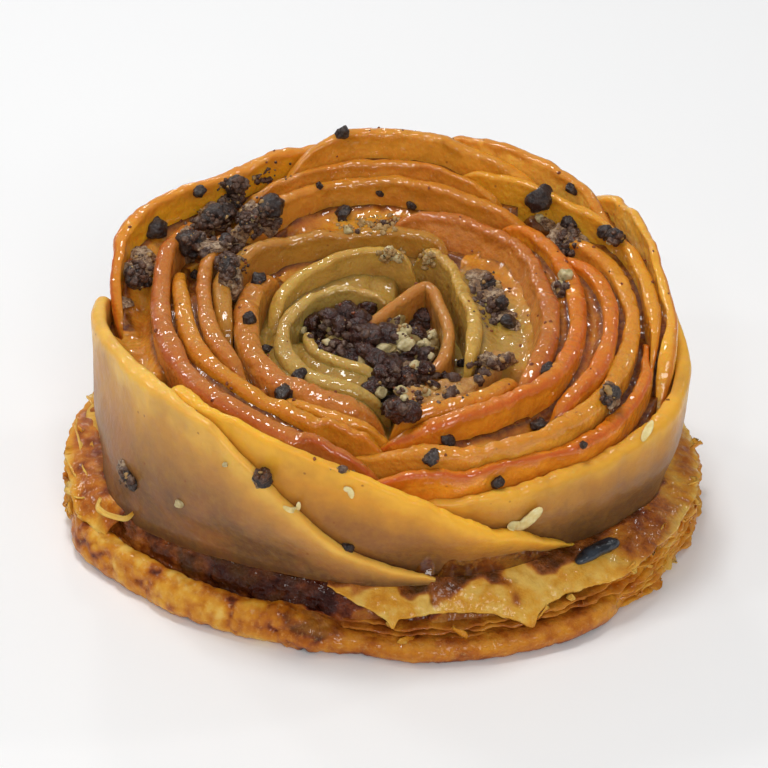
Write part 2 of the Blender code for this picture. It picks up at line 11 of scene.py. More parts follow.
import bmesh
import bpy
import numpy as np
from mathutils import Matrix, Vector


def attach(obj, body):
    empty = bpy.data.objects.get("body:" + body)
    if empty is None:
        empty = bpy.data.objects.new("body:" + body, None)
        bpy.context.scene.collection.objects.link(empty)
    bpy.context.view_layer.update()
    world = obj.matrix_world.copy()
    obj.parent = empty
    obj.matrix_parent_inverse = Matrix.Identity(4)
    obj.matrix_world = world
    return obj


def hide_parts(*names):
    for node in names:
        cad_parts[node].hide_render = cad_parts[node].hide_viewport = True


bl_info = {
    "name": "Apple rose tart",
    "version": (1, 0, 0),
    "blender": (4, 5, 0),
    "location": "View3D > Sidebar > Tart",
    "description": "Builds the apple bands, pastry, syrup, crumbs and cream of an apple rose tart",
    "category": "Object",
}

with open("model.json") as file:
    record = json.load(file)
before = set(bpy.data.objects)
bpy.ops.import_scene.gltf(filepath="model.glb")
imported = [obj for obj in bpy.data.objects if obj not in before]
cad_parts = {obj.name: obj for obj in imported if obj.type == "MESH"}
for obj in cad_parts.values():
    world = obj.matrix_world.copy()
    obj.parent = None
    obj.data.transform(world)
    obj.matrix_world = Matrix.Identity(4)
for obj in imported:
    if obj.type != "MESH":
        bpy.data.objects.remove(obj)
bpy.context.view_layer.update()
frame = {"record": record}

MM = 0.001

# Driving sizes of the tart.
ROSE_AXIS = (0.17, -2.97)
PASTRY_TOP = 10.5
BAND_FOOT = PASTRY_TOP - 0.3
BAND_THICKNESS = 2.5
LEAN = 0.05  # how far a band leans outwards for each millimetre of height
LEAN_HEIGHT = 32.0
TUCK = 2.0  # how far the bands' feet are drawn in, below TUCK_HEIGHT
TUCK_HEIGHT = 21.0
TOUCH = 0.12  # gap left between neighbouring bands at their rims
THINNEST = 0.6  # share of its thickness that a crowded band keeps
TIP_SHARE = 0.16  # share of a band's length over which its tip thins
TIP_THICKNESS = 0.22  # share of the thickness that is left at the tip
STEP_DEG = 0.5
COLUMNS = int(360 / STEP_DEG)

# Lamps: name, place in metres, diameter and watts. The small bright ones give the wet glaze its glints.
LAMPS = (("overhead", (-0.10, 0.12, 0.75), 0.20, 2.1), ("window", (-0.60, 0.45, 0.50), 0.14, 0.8),
         ("front", (0.15, -0.80, 0.55), 0.35, 2.4), ("glint_left", (-0.42, -0.10, 0.45), 0.05, 0.20),
         ("glint_back", (-0.08, 0.52, 0.34), 0.05, 0.22), ("glint_right", (0.40, 0.22, 0.40), 0.05, 0.20),
         ("glint_front", (-0.16, -0.46, 0.46), 0.05, 0.20), ("glint_far", (-0.30, 0.40, 0.42), 0.05, 0.20),
         ("glint_low", (0.30, -0.42, 0.30), 0.04, 0.12))
LAMP_AIM = (0, 0, 0.02)
FLOOR_REACH = 3.0  # metres from the middle to the floor's edge
ROOM_COLOUR = (0.985, 0.992, 1.0, 1.0)
ROOM_STRENGTH = 0.30

# The camera: it looks level with +Y and down, from far off.
CAMERA_TILT = 33.0
CAMERA_DISTANCE = 420.0
CAMERA_AIM_HEIGHT = 22.3
LENS = 127.2
SENSOR = 36.0
FRAME_PIXELS = 768

Band = namedtuple("Band", "finish rim thickness belly bubbles")


def band(finish, rim, thickness=BAND_THICKNESS, belly=0.0, bubbles=0.35):
    """A band: its finish, rim and thickness, how far its foot swells inwards, and how bubbly its glaze is."""
    return Band(finish, rim, thickness, belly, bubbles)


# rim: (angle, radius, height of the rim) from one tip to the other, outermost band first.
BANDS = (
    band("wall_left", ((158, 45.2, 25), (168, 45.0, 32), (180, 43.6, 34), (198, 40.6, 35.2),
                       (218, 39.4, 36.2), (229, 39.2, 35.6), (237, 38.8, 31.8), (249, 38.1, 24.6),
                       (262, 37.6, 17.6), (274, 37.7, 13.6), (282, 37.9, 11.0)), bubbles=0.2),
    band("wall_front", ((204, 36.6, 27), (216, 37.0, 35.6), (232, 37.8, 36.3), (247, 37.2, 33.8),
                        (261, 37.2, 31.2), (270, 37.6, 29), (278, 37.8, 26.6), (290, 38.6, 22),
                        (303, 39.6, 17.4), (311, 40.2, 13.6), (317, 40.6, 11.0)), bubbles=0.2),
    band("wall_right", ((268, 34.6, 17), (280, 35.2, 24.2), (296, 36.8, 25.4), (312, 38.8, 25.5),
                        (330, 42.6, 26.7), (344, 45.5, 28.2), (358, 46.0, 29.4), (370, 45.4, 31),
                        (384, 46.0, 27), (396, 46.4, 17)), bubbles=0.2),
    band("yellow_red_edge", ((80, 43.4, 27), (92, 43.0, 38), (103, 42.2, 42.4), (112, 41.6, 42.8),
                             (124, 42.0, 41.6), (135, 43.4, 41), (147, 45.3, 40.4), (157, 45.7, 38.2),
                             (165, 43.5, 33.4), (174, 40.4, 26))),
    band("gold_red_edge", ((344, 42.6, 24), (354, 43.4, 32), (364, 45.0, 34.4), (376, 47.1, 37.6),
                           (388, 48.0, 39.6), (396, 47.4, 39.4), (404, 46.8, 37.2), (414, 45.6, 27))),
    band("gold_dark_edge", ((24, 42.2, 28), (34, 42.6, 37.5), (42, 43.0, 41), (52, 43.2, 42.6),
                            (62, 42.8, 43.9), (71, 43.0, 43.9), (79, 43.4, 41.4), (87, 44.0, 30)), 2.2),
    band("gold", ((42, 39.8, 30), (50, 40.2, 38.6), (58, 40.4, 41.2), (68, 40.5, 43.2), (78, 40.6, 44.8),
                  (97, 40.4, 45.2), (106, 39.2, 43.8), (115, 38.0, 39), (123, 37.6, 30)), 2.5, bubbles=0.8),
    band("yellow", ((350, 40.6, 26), (358, 41.4, 33.4), (368, 41.6, 35), (380, 42.0, 36.8), (392, 41.2, 38.8),
                    (405, 39.2, 40.2), (416, 38.2, 41.2), (425, 37.8, 41), (433, 37.6, 38),
                    (440, 37.6, 29)), 2.3),
    band("amber", ((52, 35.4, 31), (61, 35.6, 38.8), (72, 36.2, 40.4), (84, 37.4, 41.2), (98, 37.6, 41.5),
                   (110, 37.1, 41.2), (120, 37.2, 40.2), (128, 37.4, 37), (134, 37.6, 30)), 2.3),
    band("orange", ((250, 32.8, 22), (262, 33.9, 26.4), (276, 34.5, 29.2), (298, 34.9, 28.6),
                    (311, 36.3, 28.6), (324, 38.8, 29), (336, 40.2, 29.8), (347, 40.6, 31), (356, 40.2, 31),
                    (364, 39.6, 25)), 2.2),
    band("salmon", ((133, 38.6, 29), (142, 39.4, 37.2), (151, 38.4, 37.4), (166, 35.6, 35.8),
                    (182, 33.9, 35.5), (200, 33.4, 35.7), (216, 33.9, 35.7), (232, 33.6, 35),
                    (249, 33.4, 33.2), (259, 33.0, 31.6), (267, 32.4, 28), (274, 31.8, 21)), 3.2),
    band("gold", ((252, 28.4, 25), (266, 29.4, 29.0), (281, 31.2, 31.1), (298, 33.6, 31), (311, 34.6, 31.2),
                  (326, 36.2, 31.7), (345, 37.0, 32.8), (364, 38.1, 34.2), (378, 38.4, 35.9),
                  (390, 37.3, 36.8), (400, 36.6, 34.5), (410, 36.4, 26)), 2.6),
    band("orange", ((314, 32.8, 25), (324, 33.0, 32.2), (340, 34.0, 33.4), (354, 34.5, 34.5),
                    (368, 35.0, 35.3), (380, 34.6, 36), (389, 33.4, 35.6), (396, 32.9, 30))),
    band("gold_red_face", ((150, 35.6, 29), (159, 34.2, 35), (172, 31.4, 35.6), (186, 30.0, 35.6),
                           (204, 29.2, 35.5), (222, 28.4, 35.1), (238, 28.3, 34.4), (253, 28.8, 33.5),
                           (264, 29.2, 32), (271, 29.0, 28), (277, 28.6, 22)), 2.7),
    band("amber", ((40, 34.2, 27), (49, 33.7, 36.4), (62, 33.2, 38.3), (76, 33.8, 39.2), (88, 34.8, 39.6),
                   (104, 35.0, 39.5), (118, 33.8, 39.1), (129, 33.8, 37.6), (138, 34.2, 33),
                   (146, 34.6, 27)), 2.6, bubbles=0.6),
    band("orange", ((262, 26.6, 26), (277, 27.3, 31.2), (291, 27.4, 33.3), (308, 27.9, 33.9),
                    (328, 29.4, 34.6), (348, 29.6, 35), (366, 30.0, 35.3), (381, 31.0, 36), (395, 31.6, 36.9),
                    (404, 31.8, 37.2), (412, 31.6, 35.6), (418, 31.4, 28)), 2.6, bubbles=0.7),
    band("salmon_gold", ((120, 31.0, 28), (129, 32.2, 35.4), (138, 32.8, 36.7), (148, 32.0, 36.3),
                         (160, 29.8, 35.6), (176, 27.4, 35.3), (192, 26.4, 35.2), (206, 25.6, 34.6),
                         (217, 25.0, 30)), bubbles=0.6),
    band("salmon", ((312, 27.0, 25), (322, 26.6, 33.6), (336, 25.9, 35), (354, 25.3, 35.6), (376, 25.8, 36),
                    (394, 27.6, 36.3), (408, 28.9, 36.7), (422, 29.3, 37), (436, 28.5, 37), (444, 28.0, 35.6),
                    (452, 27.6, 29)), 2.8, 1.6, bubbles=0.8),
    band("gold", ((226, 24.6, 26), (237, 25.2, 33.2), (252, 25.6, 33.4), (263, 26.0, 32.6), (270, 26.0, 30),
                  (276, 25.8, 25)), 1.8),
    band("gold_red_face", ((270, 23.4, 26), (278, 23.9, 33), (287, 24.0, 33.6), (298, 24.4, 33.8),
                           (311, 24.6, 34.1), (322, 23.8, 33), (332, 23.2, 26)), 2.6),
    band("golden_brown", ((60, 24.0, 28), (70, 24.4, 35.4), (80, 24.4, 36.5), (92, 23.8, 36.7),
                          (106, 23.8, 36.7), (118, 24.8, 36.7), (132, 26.8, 36.5), (144, 28.0, 36.1),
                          (157, 27.4, 35.8), (170, 25.4, 35.4), (182, 24.4, 33.6), (190, 23.8, 27)), 3.0),
    band("salmon_gold", ((134, 22.0, 26), (143, 22.8, 33.2), (152, 22.8, 34.3), (166, 22.0, 34),
                         (184, 21.2, 34), (204, 21.4, 34), (222, 21.7, 33.8), (240, 21.9, 33.5),
                         (255, 22.0, 33.2), (265, 21.8, 31.2), (273, 21.4, 25)), 3.6, bubbles=0.9),
    band("straw", ((316, 16.4, 25), (326, 15.5, 33.2), (344, 14.2, 34.1), (366, 13.7, 34.4),
                   (384, 14.0, 34.6), (400, 15.5, 34.8), (412, 17.6, 35), (422, 19.6, 35.1),
                   (430, 21.0, 34.9), (438, 21.4, 31), (446, 21.2, 26)), 2.3, bubbles=0.6),
    band("straw", ((70, 17.8, 27), (79, 18.8, 34), (90, 20.1, 34.9), (104, 20.0, 34.8), (118, 19.7, 34.4),
                   (134, 19.4, 34), (148, 19.0, 33.2), (158, 18.4, 31), (168, 18.0, 25)), 2.2),
    band("olive", ((80, 9.8, 25), (89, 10.1, 31.4), (102, 11.7, 32.5), (115, 13.3, 32.6), (132, 14.9, 32.6),
                   (152, 15.3, 32.5), (173, 15.4, 32.4), (195, 16.0, 32.2), (216, 16.1, 32),
                   (236, 15.6, 31.8), (250, 15.0, 31.4), (264, 14.6, 29.5), (274, 14.4, 25)), 2.4),
    band("olive", ((158, 12.4, 25), (168, 12.0, 30.4), (188, 11.0, 31), (206, 9.8, 31), (224, 8.9, 31),
                   (246, 8.2, 30.8), (262, 8.0, 30), (275, 8.1, 26)), 1.7),
)

# Foot of the left wall, which spreads over the pastry: angle, outer radius and height.
WALL_FOOT = ((158, 43.4, 10.2), (172, 43.8, 9.9), (186, 44.2, 9.2), (195, 44.2, 9.0), (206, 42.2, 9.0),
             (214, 40.0, 9.0), (222, 38.3, 9.2), (232, 36.8, 9.8), (249, 35.6, 10.2), (262, 35.6, 10.2),
             (281, 35.9, 10.2))

# How far the front wall's foot is drawn in, at each angle.
FRONT_TUCK = ((204, 0.0), (245, 0.0), (265, 0.0), (280, -1.2), (292, -2.3), (306, -2.5), (317, -2.0))

# The band folded over the heart: its path in plan, the height of its rim along it, and its thickness.
FOLD_PATH = ((-3.4, 3.2), (-0.6, 6.1), (2.5, 9.2), (5.0, 11.9), (6.6, 12.9), (7.7, 11.4), (8.6, 7.5),
             (9.5, 3.5), (9.9, -0.5), (9.4, -5.0), (8.2, -7.8), (6.2, -9.2))
FOLD_RIM = (30.6, 31.6, 32.4, 32.9, 33.0, 33.0, 32.9, 32.7, 32.5, 32.1, 31.5, 30.4)
FOLD_THICKNESS = 2.0
FOLD_FOOT = 24.6
FOLD_COLUMNS = 150
FOLD_ROWS = 10

# How far below the lower of two neighbouring rims the gap between them is filled: angle and drop.
FILLING_DROP = ((0, 3.0), (30, 3.0), (90, 2.6), (130, 3.4), (165, 4.2), (200, 3.6), (235, 2.6), (270, 2.6),
                (310, 3.2), (340, 3.2))
DIVE = 3.0  # how far a tip between two high rims can draw the filling down
WALLS = 3  # how many of the outermost bands are outer walls
WALL_DEPTH = 25.0  # depth below the rim at which a wall's colour is at its darkest; the darkening towards the foot is partly painted shade
STRAW_REACH = 24.0  # radius inside which the filling is straw-coloured
SYRUP_START = 8.0  # radius at which the syrup begins, inside the innermost band
SYRUP_STEP_DEG = 0.75
SYRUP_COLUMNS = 100

# Outline of the heap in the heart: angle and radius.
HEART = ((0, 7.6), (38, 9.0), (60, 10.6), (84, 7.8), (115, 10.8), (140, 12.0), (150, 11.6), (162, 9.6),
         (188, 8.9), (206, 7.8), (224, 6.9), (246, 6.3), (275, 6.1), (300, 8.2), (330, 8.2))
HEART_TOP = 27.0
# The two beds of crumbs: angle, inner and outer radius, and height.
FRONT_BED = ((280, 13.6, 21.0, 31.2), (296, 13.8, 21.4, 31.0), (308, 14.6, 20.4, 31.0),
             (320, 17.6, 19.8, 31.4),
             (332, 16.6, 19.6, 31.6), (344, 15.8, 20.6, 31.6))
RIGHT_BED = ((350, 15.8, 20.6, 30.4), (366, 15.2, 20.6, 30.6), (380, 15.5, 21.2, 31.0),
             (394, 16.8, 22.6, 31.4),
             (404, 18.2, 23.4, 30.6))

# Outline and height of the pastry's edge: angle and radius or height.
PASTRY_OUTLINE = ((0, 50.5), (20, 50.0), (45, 48.5), (70, 47.6), (90, 47.4), (115, 48.0), (140, 49.4),
                  (162, 50.2), (180, 50.9), (188, 50.8), (195, 50.2), (201, 48.2), (207, 46.2), (221, 43.7),
                  (235, 41.4), (250, 39.4), (262, 39.4), (275, 41.4), (290, 43.2), (305, 45.2), (318, 47.2),
                  (335, 48.4), (350, 50.0))
PASTRY_EDGE = ((0, 8.4), (30, 8.2), (60, 7.6), (90, 8.0), (125, 9.4), (150, 11.0), (172, 10.6), (188, 8.4),
               (198, 6.4), (207, 5.6), (222, 5.4), (240, 5.4), (258, 5.6), (274, 6.0), (300, 6.4), (320, 7.6),
               (340, 8.4))
PASTRY_LAYERS = 7
LEAF_THICKNESS = 0.5

# Sections of the pastry's rim, from under the middle round the outline to the rose's foot: distance in from
# the outline as a share of the rim's width, and height: up to 1 a share of the edge's height, from 1 to 2 on
# to the top.
PUFFED = ((2.2, 0.0), (0.8, 0.0), (0.34, 0.05), (0.1, 0.18), (0.0, 0.38), (0.02, 0.6), (0.09, 0.82),
          (0.2, 0.97), (0.34, 1.0), (0.46, 0.95), (0.56, 0.86), (0.68, 0.9), (0.82, 1.3), (1.0, 1.8),
          (1.5, 2.1))
SPLIT = ((2.2, 0.0), (0.8, 0.0), (0.3, 0.04), (0.06, 0.16), (0.0, 0.32), (0.1, 0.46), (0.3, 0.5),
         (0.55, 0.46), (0.72, 0.5), (0.72, 0.6), (0.66, 0.7), (0.68, 0.8), (0.8, 1.0), (1.0, 1.5), (1.5, 2.0))
CRUMBLED = ((2.2, 0.0), (0.85, 0.0), (0.45, 0.04), (0.32, 0.15), (0.42, 0.26), (0.30, 0.37), (0.42, 0.46),
            (0.28, 0.56), (0.40, 0.66), (0.27, 0.77), (0.36, 0.87), (0.5, 0.95), (0.66, 1.2), (1.0, 1.9),
            (1.5, 2.0))
PUFFED_SHARE = ((0, 0), (184, 0), (202, 1), (250, 1), (264, 0), (300, 0))
SPLIT_SHARE = ((0, 0), (240, 0), (262, 1), (310, 1), (328, 0), (345, 0))

# Edge of the pale top flake where it overhangs the split: angle, radius and height.
PALE_FLAKE = ((256, 36.6, 10.2), (262, 37.6, 8.8), (267, 38.4, 7.6), (270.4, 39.5, 6.6), (271.8, 40.5, 5.8),
              (273.2, 39.4, 6.8), (279, 39.0, 6.9), (286, 39.4, 6.7), (292.5, 40.9, 6.4), (297.0, 42.6, 5.6),
              (300.0, 44.0, 4.4), (302.0, 43.2, 5.6), (305, 42.6, 6.6), (309, 43.2, 7.2), (314, 44.6, 7.4),
              (318, 46.2, 7.4), (324, 46.8, 7.6), (332, 47.6, 8.0), (342, 48.6, 8.3), (350, 49.4, 8.5))

# Loose ribbons of flake: width, then (angle, radius, height) along the middle.
RIBBONS = ((3.4, ((170.0, 49.6, 9.4), (173.5, 48.8, 10.2), (178.0, 47.4, 10.4), (183.0, 46.0, 9.6))),
           (2.8, ((179.0, 50.0, 8.2), (182.0, 49.0, 9.0), (186.0, 47.8, 9.4), (190.0, 46.4, 9.2))),
           (2.6, ((166.0, 47.2, 10.6), (170.0, 47.0, 11.2), (174.0, 46.0, 11.2), (178.0, 44.6, 10.6))),
           (1.2, ((197, 45.3, 10), (200.5, 46.3, 10.6), (204, 45.4, 10.6), (206, 43.6, 10.4),
                  (205, 41.8, 10.6))),
           (2.4, ((187.0, 49.6, 7.2), (190.0, 48.8, 8.0), (194.0, 47.4, 8.4))),
           (3.0, ((159.0, 49.8, 9.2), (163.0, 49.0, 10.2), (167.0, 47.8, 10.4))))

# The dried fruit: the ends of its middle line, and its radius.
FRUIT_ENDS = ((28.5, -33.3, 10.5), (35.2, -27.9, 10.5))
FRUIT_RADIUS = 1.25

# Baked apple under a clear glaze. Colours: skin line along the rim, rim, just below it, face, deep down,
# blush. Lighter towards the rim and darker deep down: partly the flesh's own colour, partly painted light, a
# painted glow where light shines through the thin rim and painted shade deep between the bands.
APPLE_FINISHES = {
    "wall_left": ("#ECB048", "#F0BC54", "#D69A44", "#A87640", "#6C482C", "#A8683A"),
    "wall_front": ("#F2B038", "#F4B83C", "#DC9832", "#A06830", "#70482A", "#A86A30"),
    "wall_right": ("#E4A838", "#E8AC3E", "#CA8C36", "#946432", "#684628", "#9C6836"),
    "yellow_red_edge": ("#B84818", "#DC8C24", "#ECA424", "#F2B024", "#C8821A", "#D07A20"),
    # gold_red_edge: its pale near and face colours are partly a painted glow of light passing through the
    # slice from behind
    "gold_red_edge": ("#C05A1C", "#E8A834", "#FFC850", "#FFD268", "#E8A040", "#E89A34"),
    "gold_dark_edge": ("#6E2A0C", "#D48828", "#FFC854", "#FFD060", "#E49C3C", "#E89A34"),
    "gold": ("#D88C24", "#D28A22", "#ECA438", "#E89C30", "#9C5412", "#D88030"),
    "yellow": ("#C8781C", "#DC9624", "#E8A42C", "#E8A82C", "#A8661A", "#DC8E2C"),
    "amber": ("#C8762A", "#C88020", "#E09636", "#D0842A", "#884814", "#CC742C"),
    "orange": ("#C04E14", "#D07818", "#F29E2A", "#EE9026", "#A0500C", "#D86A1E"),
    "salmon": ("#B04818", "#BC6E24", "#D4883C", "#CA7C38", "#8C4A1C", "#C06434"),
    "gold_red_face": ("#C8701C", "#CC8418", "#E4982C", "#D47E22", "#8A460C", "#CC6220"),
    "salmon_gold": ("#C06A24", "#BE7828", "#D08E3A", "#C07C30", "#84481A", "#C4703A"),
    "golden_brown": ("#B4782A", "#B47C2A", "#C08A38", "#B07830", "#744A1A", "#BC7A36"),
    "straw": ("#BC9240", "#C49A44", "#CCA04C", "#B0803A", "#705022", "#B88242"),
    "olive": ("#B89448", "#BC984A", "#C09C4E", "#A08040", "#604820", "#B4803E"),
    "pulp": ("#AA8A40", "#D8942E", "#CC8424", "#A45C14", "#5A280A", "#B45E1E"),
    "tan": ("#B07A34", "#BA7E38", "#BE7E34", "#AE7028", "#6C3C10", "#B8682A"),
}
SPICE = "#8A4420"
SPICE_SHARE = 0.7  # how much of its own colour a speck of spice shows
COLOUR_DEPTH = 20.0  # depth below the rim at which a slice has its deepest colour; the darkening down to it is partly painted shade


def srgb(text):
    """An sRGB hex colour as linear RGBA."""
    parts = [int(text[i:i + 2], 16) / 255 for i in (1, 3, 5)]
    return tuple(c / 12.92 if c <= 0.04045 else ((c + 0.055) / 1.055) ** 2.4 for c in parts) + (1.0,)


# ---------------------------------------------------------------- numbers

def through(points, at, period=None):
    """Smooth values at `at` through (place, value) points: cubic pieces whose slopes never overshoot."""
    x = np.array([p[0] for p in points], float)
    y = np.array([p[1] for p in points], float)
    at = np.asarray(at, float)
    if period:
        x = np.concatenate([x[-2:] - period, x, x[:2] + period])
        y = np.concatenate([y[-2:], y, y[:2]])
        at = np.mod(at, period)
    step = np.diff(x)
    rise = np.diff(y) / step
    both, product = rise[:-1] + rise[1:], rise[:-1] * rise[1:]
    slope = np.zeros_like(y)
    slope[1:-1] = np.where(product > 0, 2 * product / np.where(both == 0, 1, both), 0)
    slope[0], slope[-1] = rise[0], rise[-1]
    i = np.clip(np.searchsorted(x, at, side="right") - 1, 0, len(step) - 1)
    t = (at - x[i]) / step[i]
    return (y[i] * (1 + 2 * t) * (1 - t) ** 2 + slope[i] * step[i] * t * (1 - t) ** 2
            + y[i + 1] * t * t * (3 - 2 * t) - slope[i + 1] * step[i] * t * t * (1 - t))


def profile(rows, column, at, period=None):
    """Smooth values at `at` of one column of a table whose first column is the place."""
    return through([(row[0], row[column]) for row in rows], at, period)


def curve(points, at):
    """A smooth curve through points: each coordinate is a function of the number of the point."""
    return np.stack([through(list(enumerate(values)), at) for values in zip(*points)], -1)


def lattice(cell, seed):
    """A fixed value between -1 and 1 for each whole-number cell, by mixing its bits."""
    mixed = (cell[..., 0] * 374761393 + cell[..., 1] * 668265263 + cell[..., 2] * 1274126177
             + seed * 974711) & 0xFFFFFFFF
    mixed = ((mixed ^ (mixed >> 13)) * 1103515245) & 0xFFFFFFFF
    mixed = ((mixed ^ (mixed >> 15)) * 747796405) & 0xFFFFFFFF
    return (mixed ^ (mixed >> 16)) / 2147483647.5 - 1


def noise(points, grain, seed=0):
    """Smooth noise between -1 and 1: cell-corner values blended over cells of `grain` millimetres."""
    spot = np.asarray(points, float) / grain
    cell = np.floor(spot).astype(np.int64)
    share = spot - cell
    share = share * share * (3 - 2 * share)
    total = np.zeros(spot.shape[:-1])
    for corner in range(8):
        bits = np.array([corner & 1, corner >> 1 & 1, corner >> 2 & 1])
        weight = np.prod(np.where(bits, share, 1 - share), axis=-1)
        total += weight * lattice(cell + bits, seed)
    return total


def rough(points, grain, seed=0, octaves=3):
    """Noise of several grains added up, each half as coarse and half as strong as the last."""
    return sum(noise(points, grain / 2 ** k, seed + 17 * k) / 2 ** k for k in range(octaves)) / 1.6


def blisters(points, size, seed=0):
    """Rounded bumps from 0 to 1, packed like foam: high near one random point in each cell of `size`
    millimetres."""
    spot = np.asarray(points, float) / size
    cell = np.floor(spot).astype(np.int64)
    nearest = np.full(spot.shape[:-1], 9.0)
    for corner in range(27):
        other = cell + np.array([corner % 3 - 1, corner // 3 % 3 - 1, corner // 9 - 1])
        middle = other + 0.5 + 0.42 * np.stack([lattice(other, seed + k) for k in range(3)], -1)
        nearest = np.minimum(nearest, ((spot - middle) ** 2).sum(-1))
    return np.sqrt(np.clip(1 - nearest / 0.72, 0, 1))


def normals_of(grid, wrap_rows=False):
    """Unit normals of a grid surface: the cross product of the differences along its rows and columns."""
    along = np.roll(grid, -1, 0) - np.roll(grid, 1, 0) if wrap_rows else np.gradient(grid, axis=0)
    normal = np.cross(along, np.gradient(grid, axis=1))
    return normal / np.maximum(np.linalg.norm(normal, axis=-1, keepdims=True), 1e-9)


def lean(height):
    """How far out a band stands at a height, against its radius at LEAN_HEIGHT."""
    return LEAN * (height - LEAN_HEIGHT) - TUCK * eased((TUCK_HEIGHT - height) / (TUCK_HEIGHT - BAND_FOOT))


def joined(parts):
    """Several (points, faces, attributes) in one."""
    points, faces, start = [], [], 0
    values = {key: [] for key in parts[0][2]}
    for some_points, some_faces, attributes in parts:
        points.append(some_points.reshape(-1, 3))
        faces.append(some_faces + start)
        start += len(points[-1])
        for key in values:
            values[key].append(np.asarray(attributes[key], float).ravel())
    values = {key: np.concatenate(some) for key, some in values.items()}
    return np.concatenate(points), np.concatenate(faces), values


def polar(radius, degrees, height):
    """Points round the rose's axis as an array of x, y, z in millimetres."""
    angle = np.radians(degrees)
    radius, angle, height = np.broadcast_arrays(radius, angle, height)
    x, y = ROSE_AXIS[0] + radius * np.cos(angle), ROSE_AXIS[1] + radius * np.sin(angle)
    return np.stack([x, y, height], axis=-1)


def eased(share):
    """0 to 1 with a soft start and end."""
    share = np.clip(share, 0, 1)
    return share * share * (3 - 2 * share)


def blur(values, width):
    """A running weighted mean along a row, with its ends held."""
    reach = max(1, int(round(width)))
    weights = np.hanning(2 * reach + 1)[1:-1]
    padded = np.pad(values, len(weights) // 2, mode="edge")
    return np.convolve(padded, weights / weights.sum(), mode="valid")


# ---------------------------------------------------------------- meshes

def mesh_object(name, points, faces, finish, attributes=None, smooth=True):
    """A mesh from arrays: points in millimetres, faces of equal corners and, for each attribute, a value per
    point."""
    points = np.asarray(points, float).reshape(-1, 3) * MM
    faces = np.asarray(faces, np.int32)
    mesh = bpy.data.meshes.new(name)
    mesh.vertices.add(len(points))
    mesh.vertices.foreach_set("co", points.astype(np.float32).ravel())
    sides = faces.shape[1]
    mesh.loops.add(faces.size)
    mesh.loops.foreach_set("vertex_index", faces.ravel())
    mesh.polygons.add(len(faces))
    mesh.polygons.foreach_set("loop_start", np.arange(0, faces.size, sides, dtype=np.int32))
    mesh.polygons.foreach_set("use_smooth", np.full(len(faces), smooth))
    mesh.update(calc_edges=True)
    for key, values in (attributes or {}).items():
        layer = mesh.attributes.new(key, "FLOAT", "POINT")
        layer.data.foreach_set("value", np.asarray(values, np.float32).ravel())
    mesh.materials.append(finish)
    made = bpy.data.objects.new(name, mesh)
    bpy.context.scene.collection.objects.link(made)
    return made


def grid_faces(rows, columns, wrap_rows=False, wrap_columns=False):
    """Quads of a grid of rows by columns, closed on itself where asked."""
    i = np.arange(rows if wrap_rows else rows - 1)
    j = np.arange(columns if wrap_columns else columns - 1)
    a, b = np.meshgrid(i, j, indexing="ij")
    c, d = (a + 1) % rows, (b + 1) % columns
    return np.stack([a * columns + b, c * columns + b, c * columns + d, a * columns + d], -1).reshape(-1, 4)


def cap_faces(start, size, flip):
    """A closed ring of points filled with a strip of quads from side to side, for the two ends of a tube."""
    half = size // 2
    k = np.arange(half - 1)
    quads = np.stack([start + k, start + k + 1, start + size - 2 - k, start + size - 1 - k], -1)
    return quads[:, ::-1] if flip else quads


def tube(grid):
    """Points and faces of a closed tube whose rows are rings, its ends filled."""
    rows, size = grid.shape[:2]
    faces = [grid_faces(rows, size, wrap_columns=True), cap_faces(0, size, False),
             cap_faces((rows - 1) * size, size, True)]
    return grid.reshape(-1, 3), np.concatenate(faces)


def fill_holes(made):
    """Fills the open rings of a mesh, each with one face."""
    shape = bmesh.new()
    shape.from_mesh(made.data)
    bmesh.ops.holes_fill(shape, edges=[e for e in shape.edges if e.is_boundary], sides=0)
    shape.to_mesh(made.data)
    shape.free()


def face_outwards(made):
    """Turns all faces outwards, after doubled points are merged."""
    shape = bmesh.new()
    shape.from_mesh(made.data)
    bmesh.ops.remove_doubles(shape, verts=shape.verts, dist=1e-6)
    bmesh.ops.recalc_face_normals(shape, faces=shape.faces)
    shape.to_mesh(made.data)
    shape.free()


def settle(made, slot, *nodes):
    """Hangs a finished piece on the tart's body and hides the solids that it stands for; the slot is not
    used."""
    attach(made, "root")
    if nodes:
        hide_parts(*nodes)
    return made


# ---------------------------------------------------------------- materials

NOISE, VORONOI, RAMP = "ShaderNodeTexNoise", "ShaderNodeTexVoronoi", "ShaderNodeValToRGB"
RANGE, MIX, MATH, BUMP = "ShaderNodeMapRange", "ShaderNodeMix", "ShaderNodeMath", "ShaderNodeBump"
FIELD = "ShaderNodeAttribute"


def add_node(tree, kind, inputs=None, output=0, stops=(), **properties):
    """Adds a node and gives back one of its outputs.

    Inputs go by name or number, and each is a value or another node's output. The stops are those of a ramp,
    as (place, hex colour or linear colour).
    """
    made = tree.nodes.new(kind)
    for key, value in properties.items():
        setattr(made, key, value)
    for socket, value in (inputs or {}).items():
        if isinstance(value, bpy.types.NodeSocket):
            tree.links.new(value, made.inputs[socket])
        elif value is not None:
            made.inputs[socket].default_value = value
    for _ in stops[2:]:
        made.color_ramp.elements.new(0.5)
    for element, (place, colour) in zip(made.color_ramp.elements if stops else (), stops):
        element.position = place
        element.color = srgb(colour) if isinstance(colour, str) else colour
    return made.outputs[output] if made.outputs else None


def settings():
    """The sizes and colours that the panel holds."""
    return bpy.context.scene.tart


def blank_material(name):
    """An empty material, its tree and the Object coordinates that its patterns read."""
    made = bpy.data.materials.new(name)
    made.use_nodes = True
    made.node_tree.nodes.clear()
    return made, made.node_tree, add_node(made.node_tree, "ShaderNodeTexCoord", output="Object")


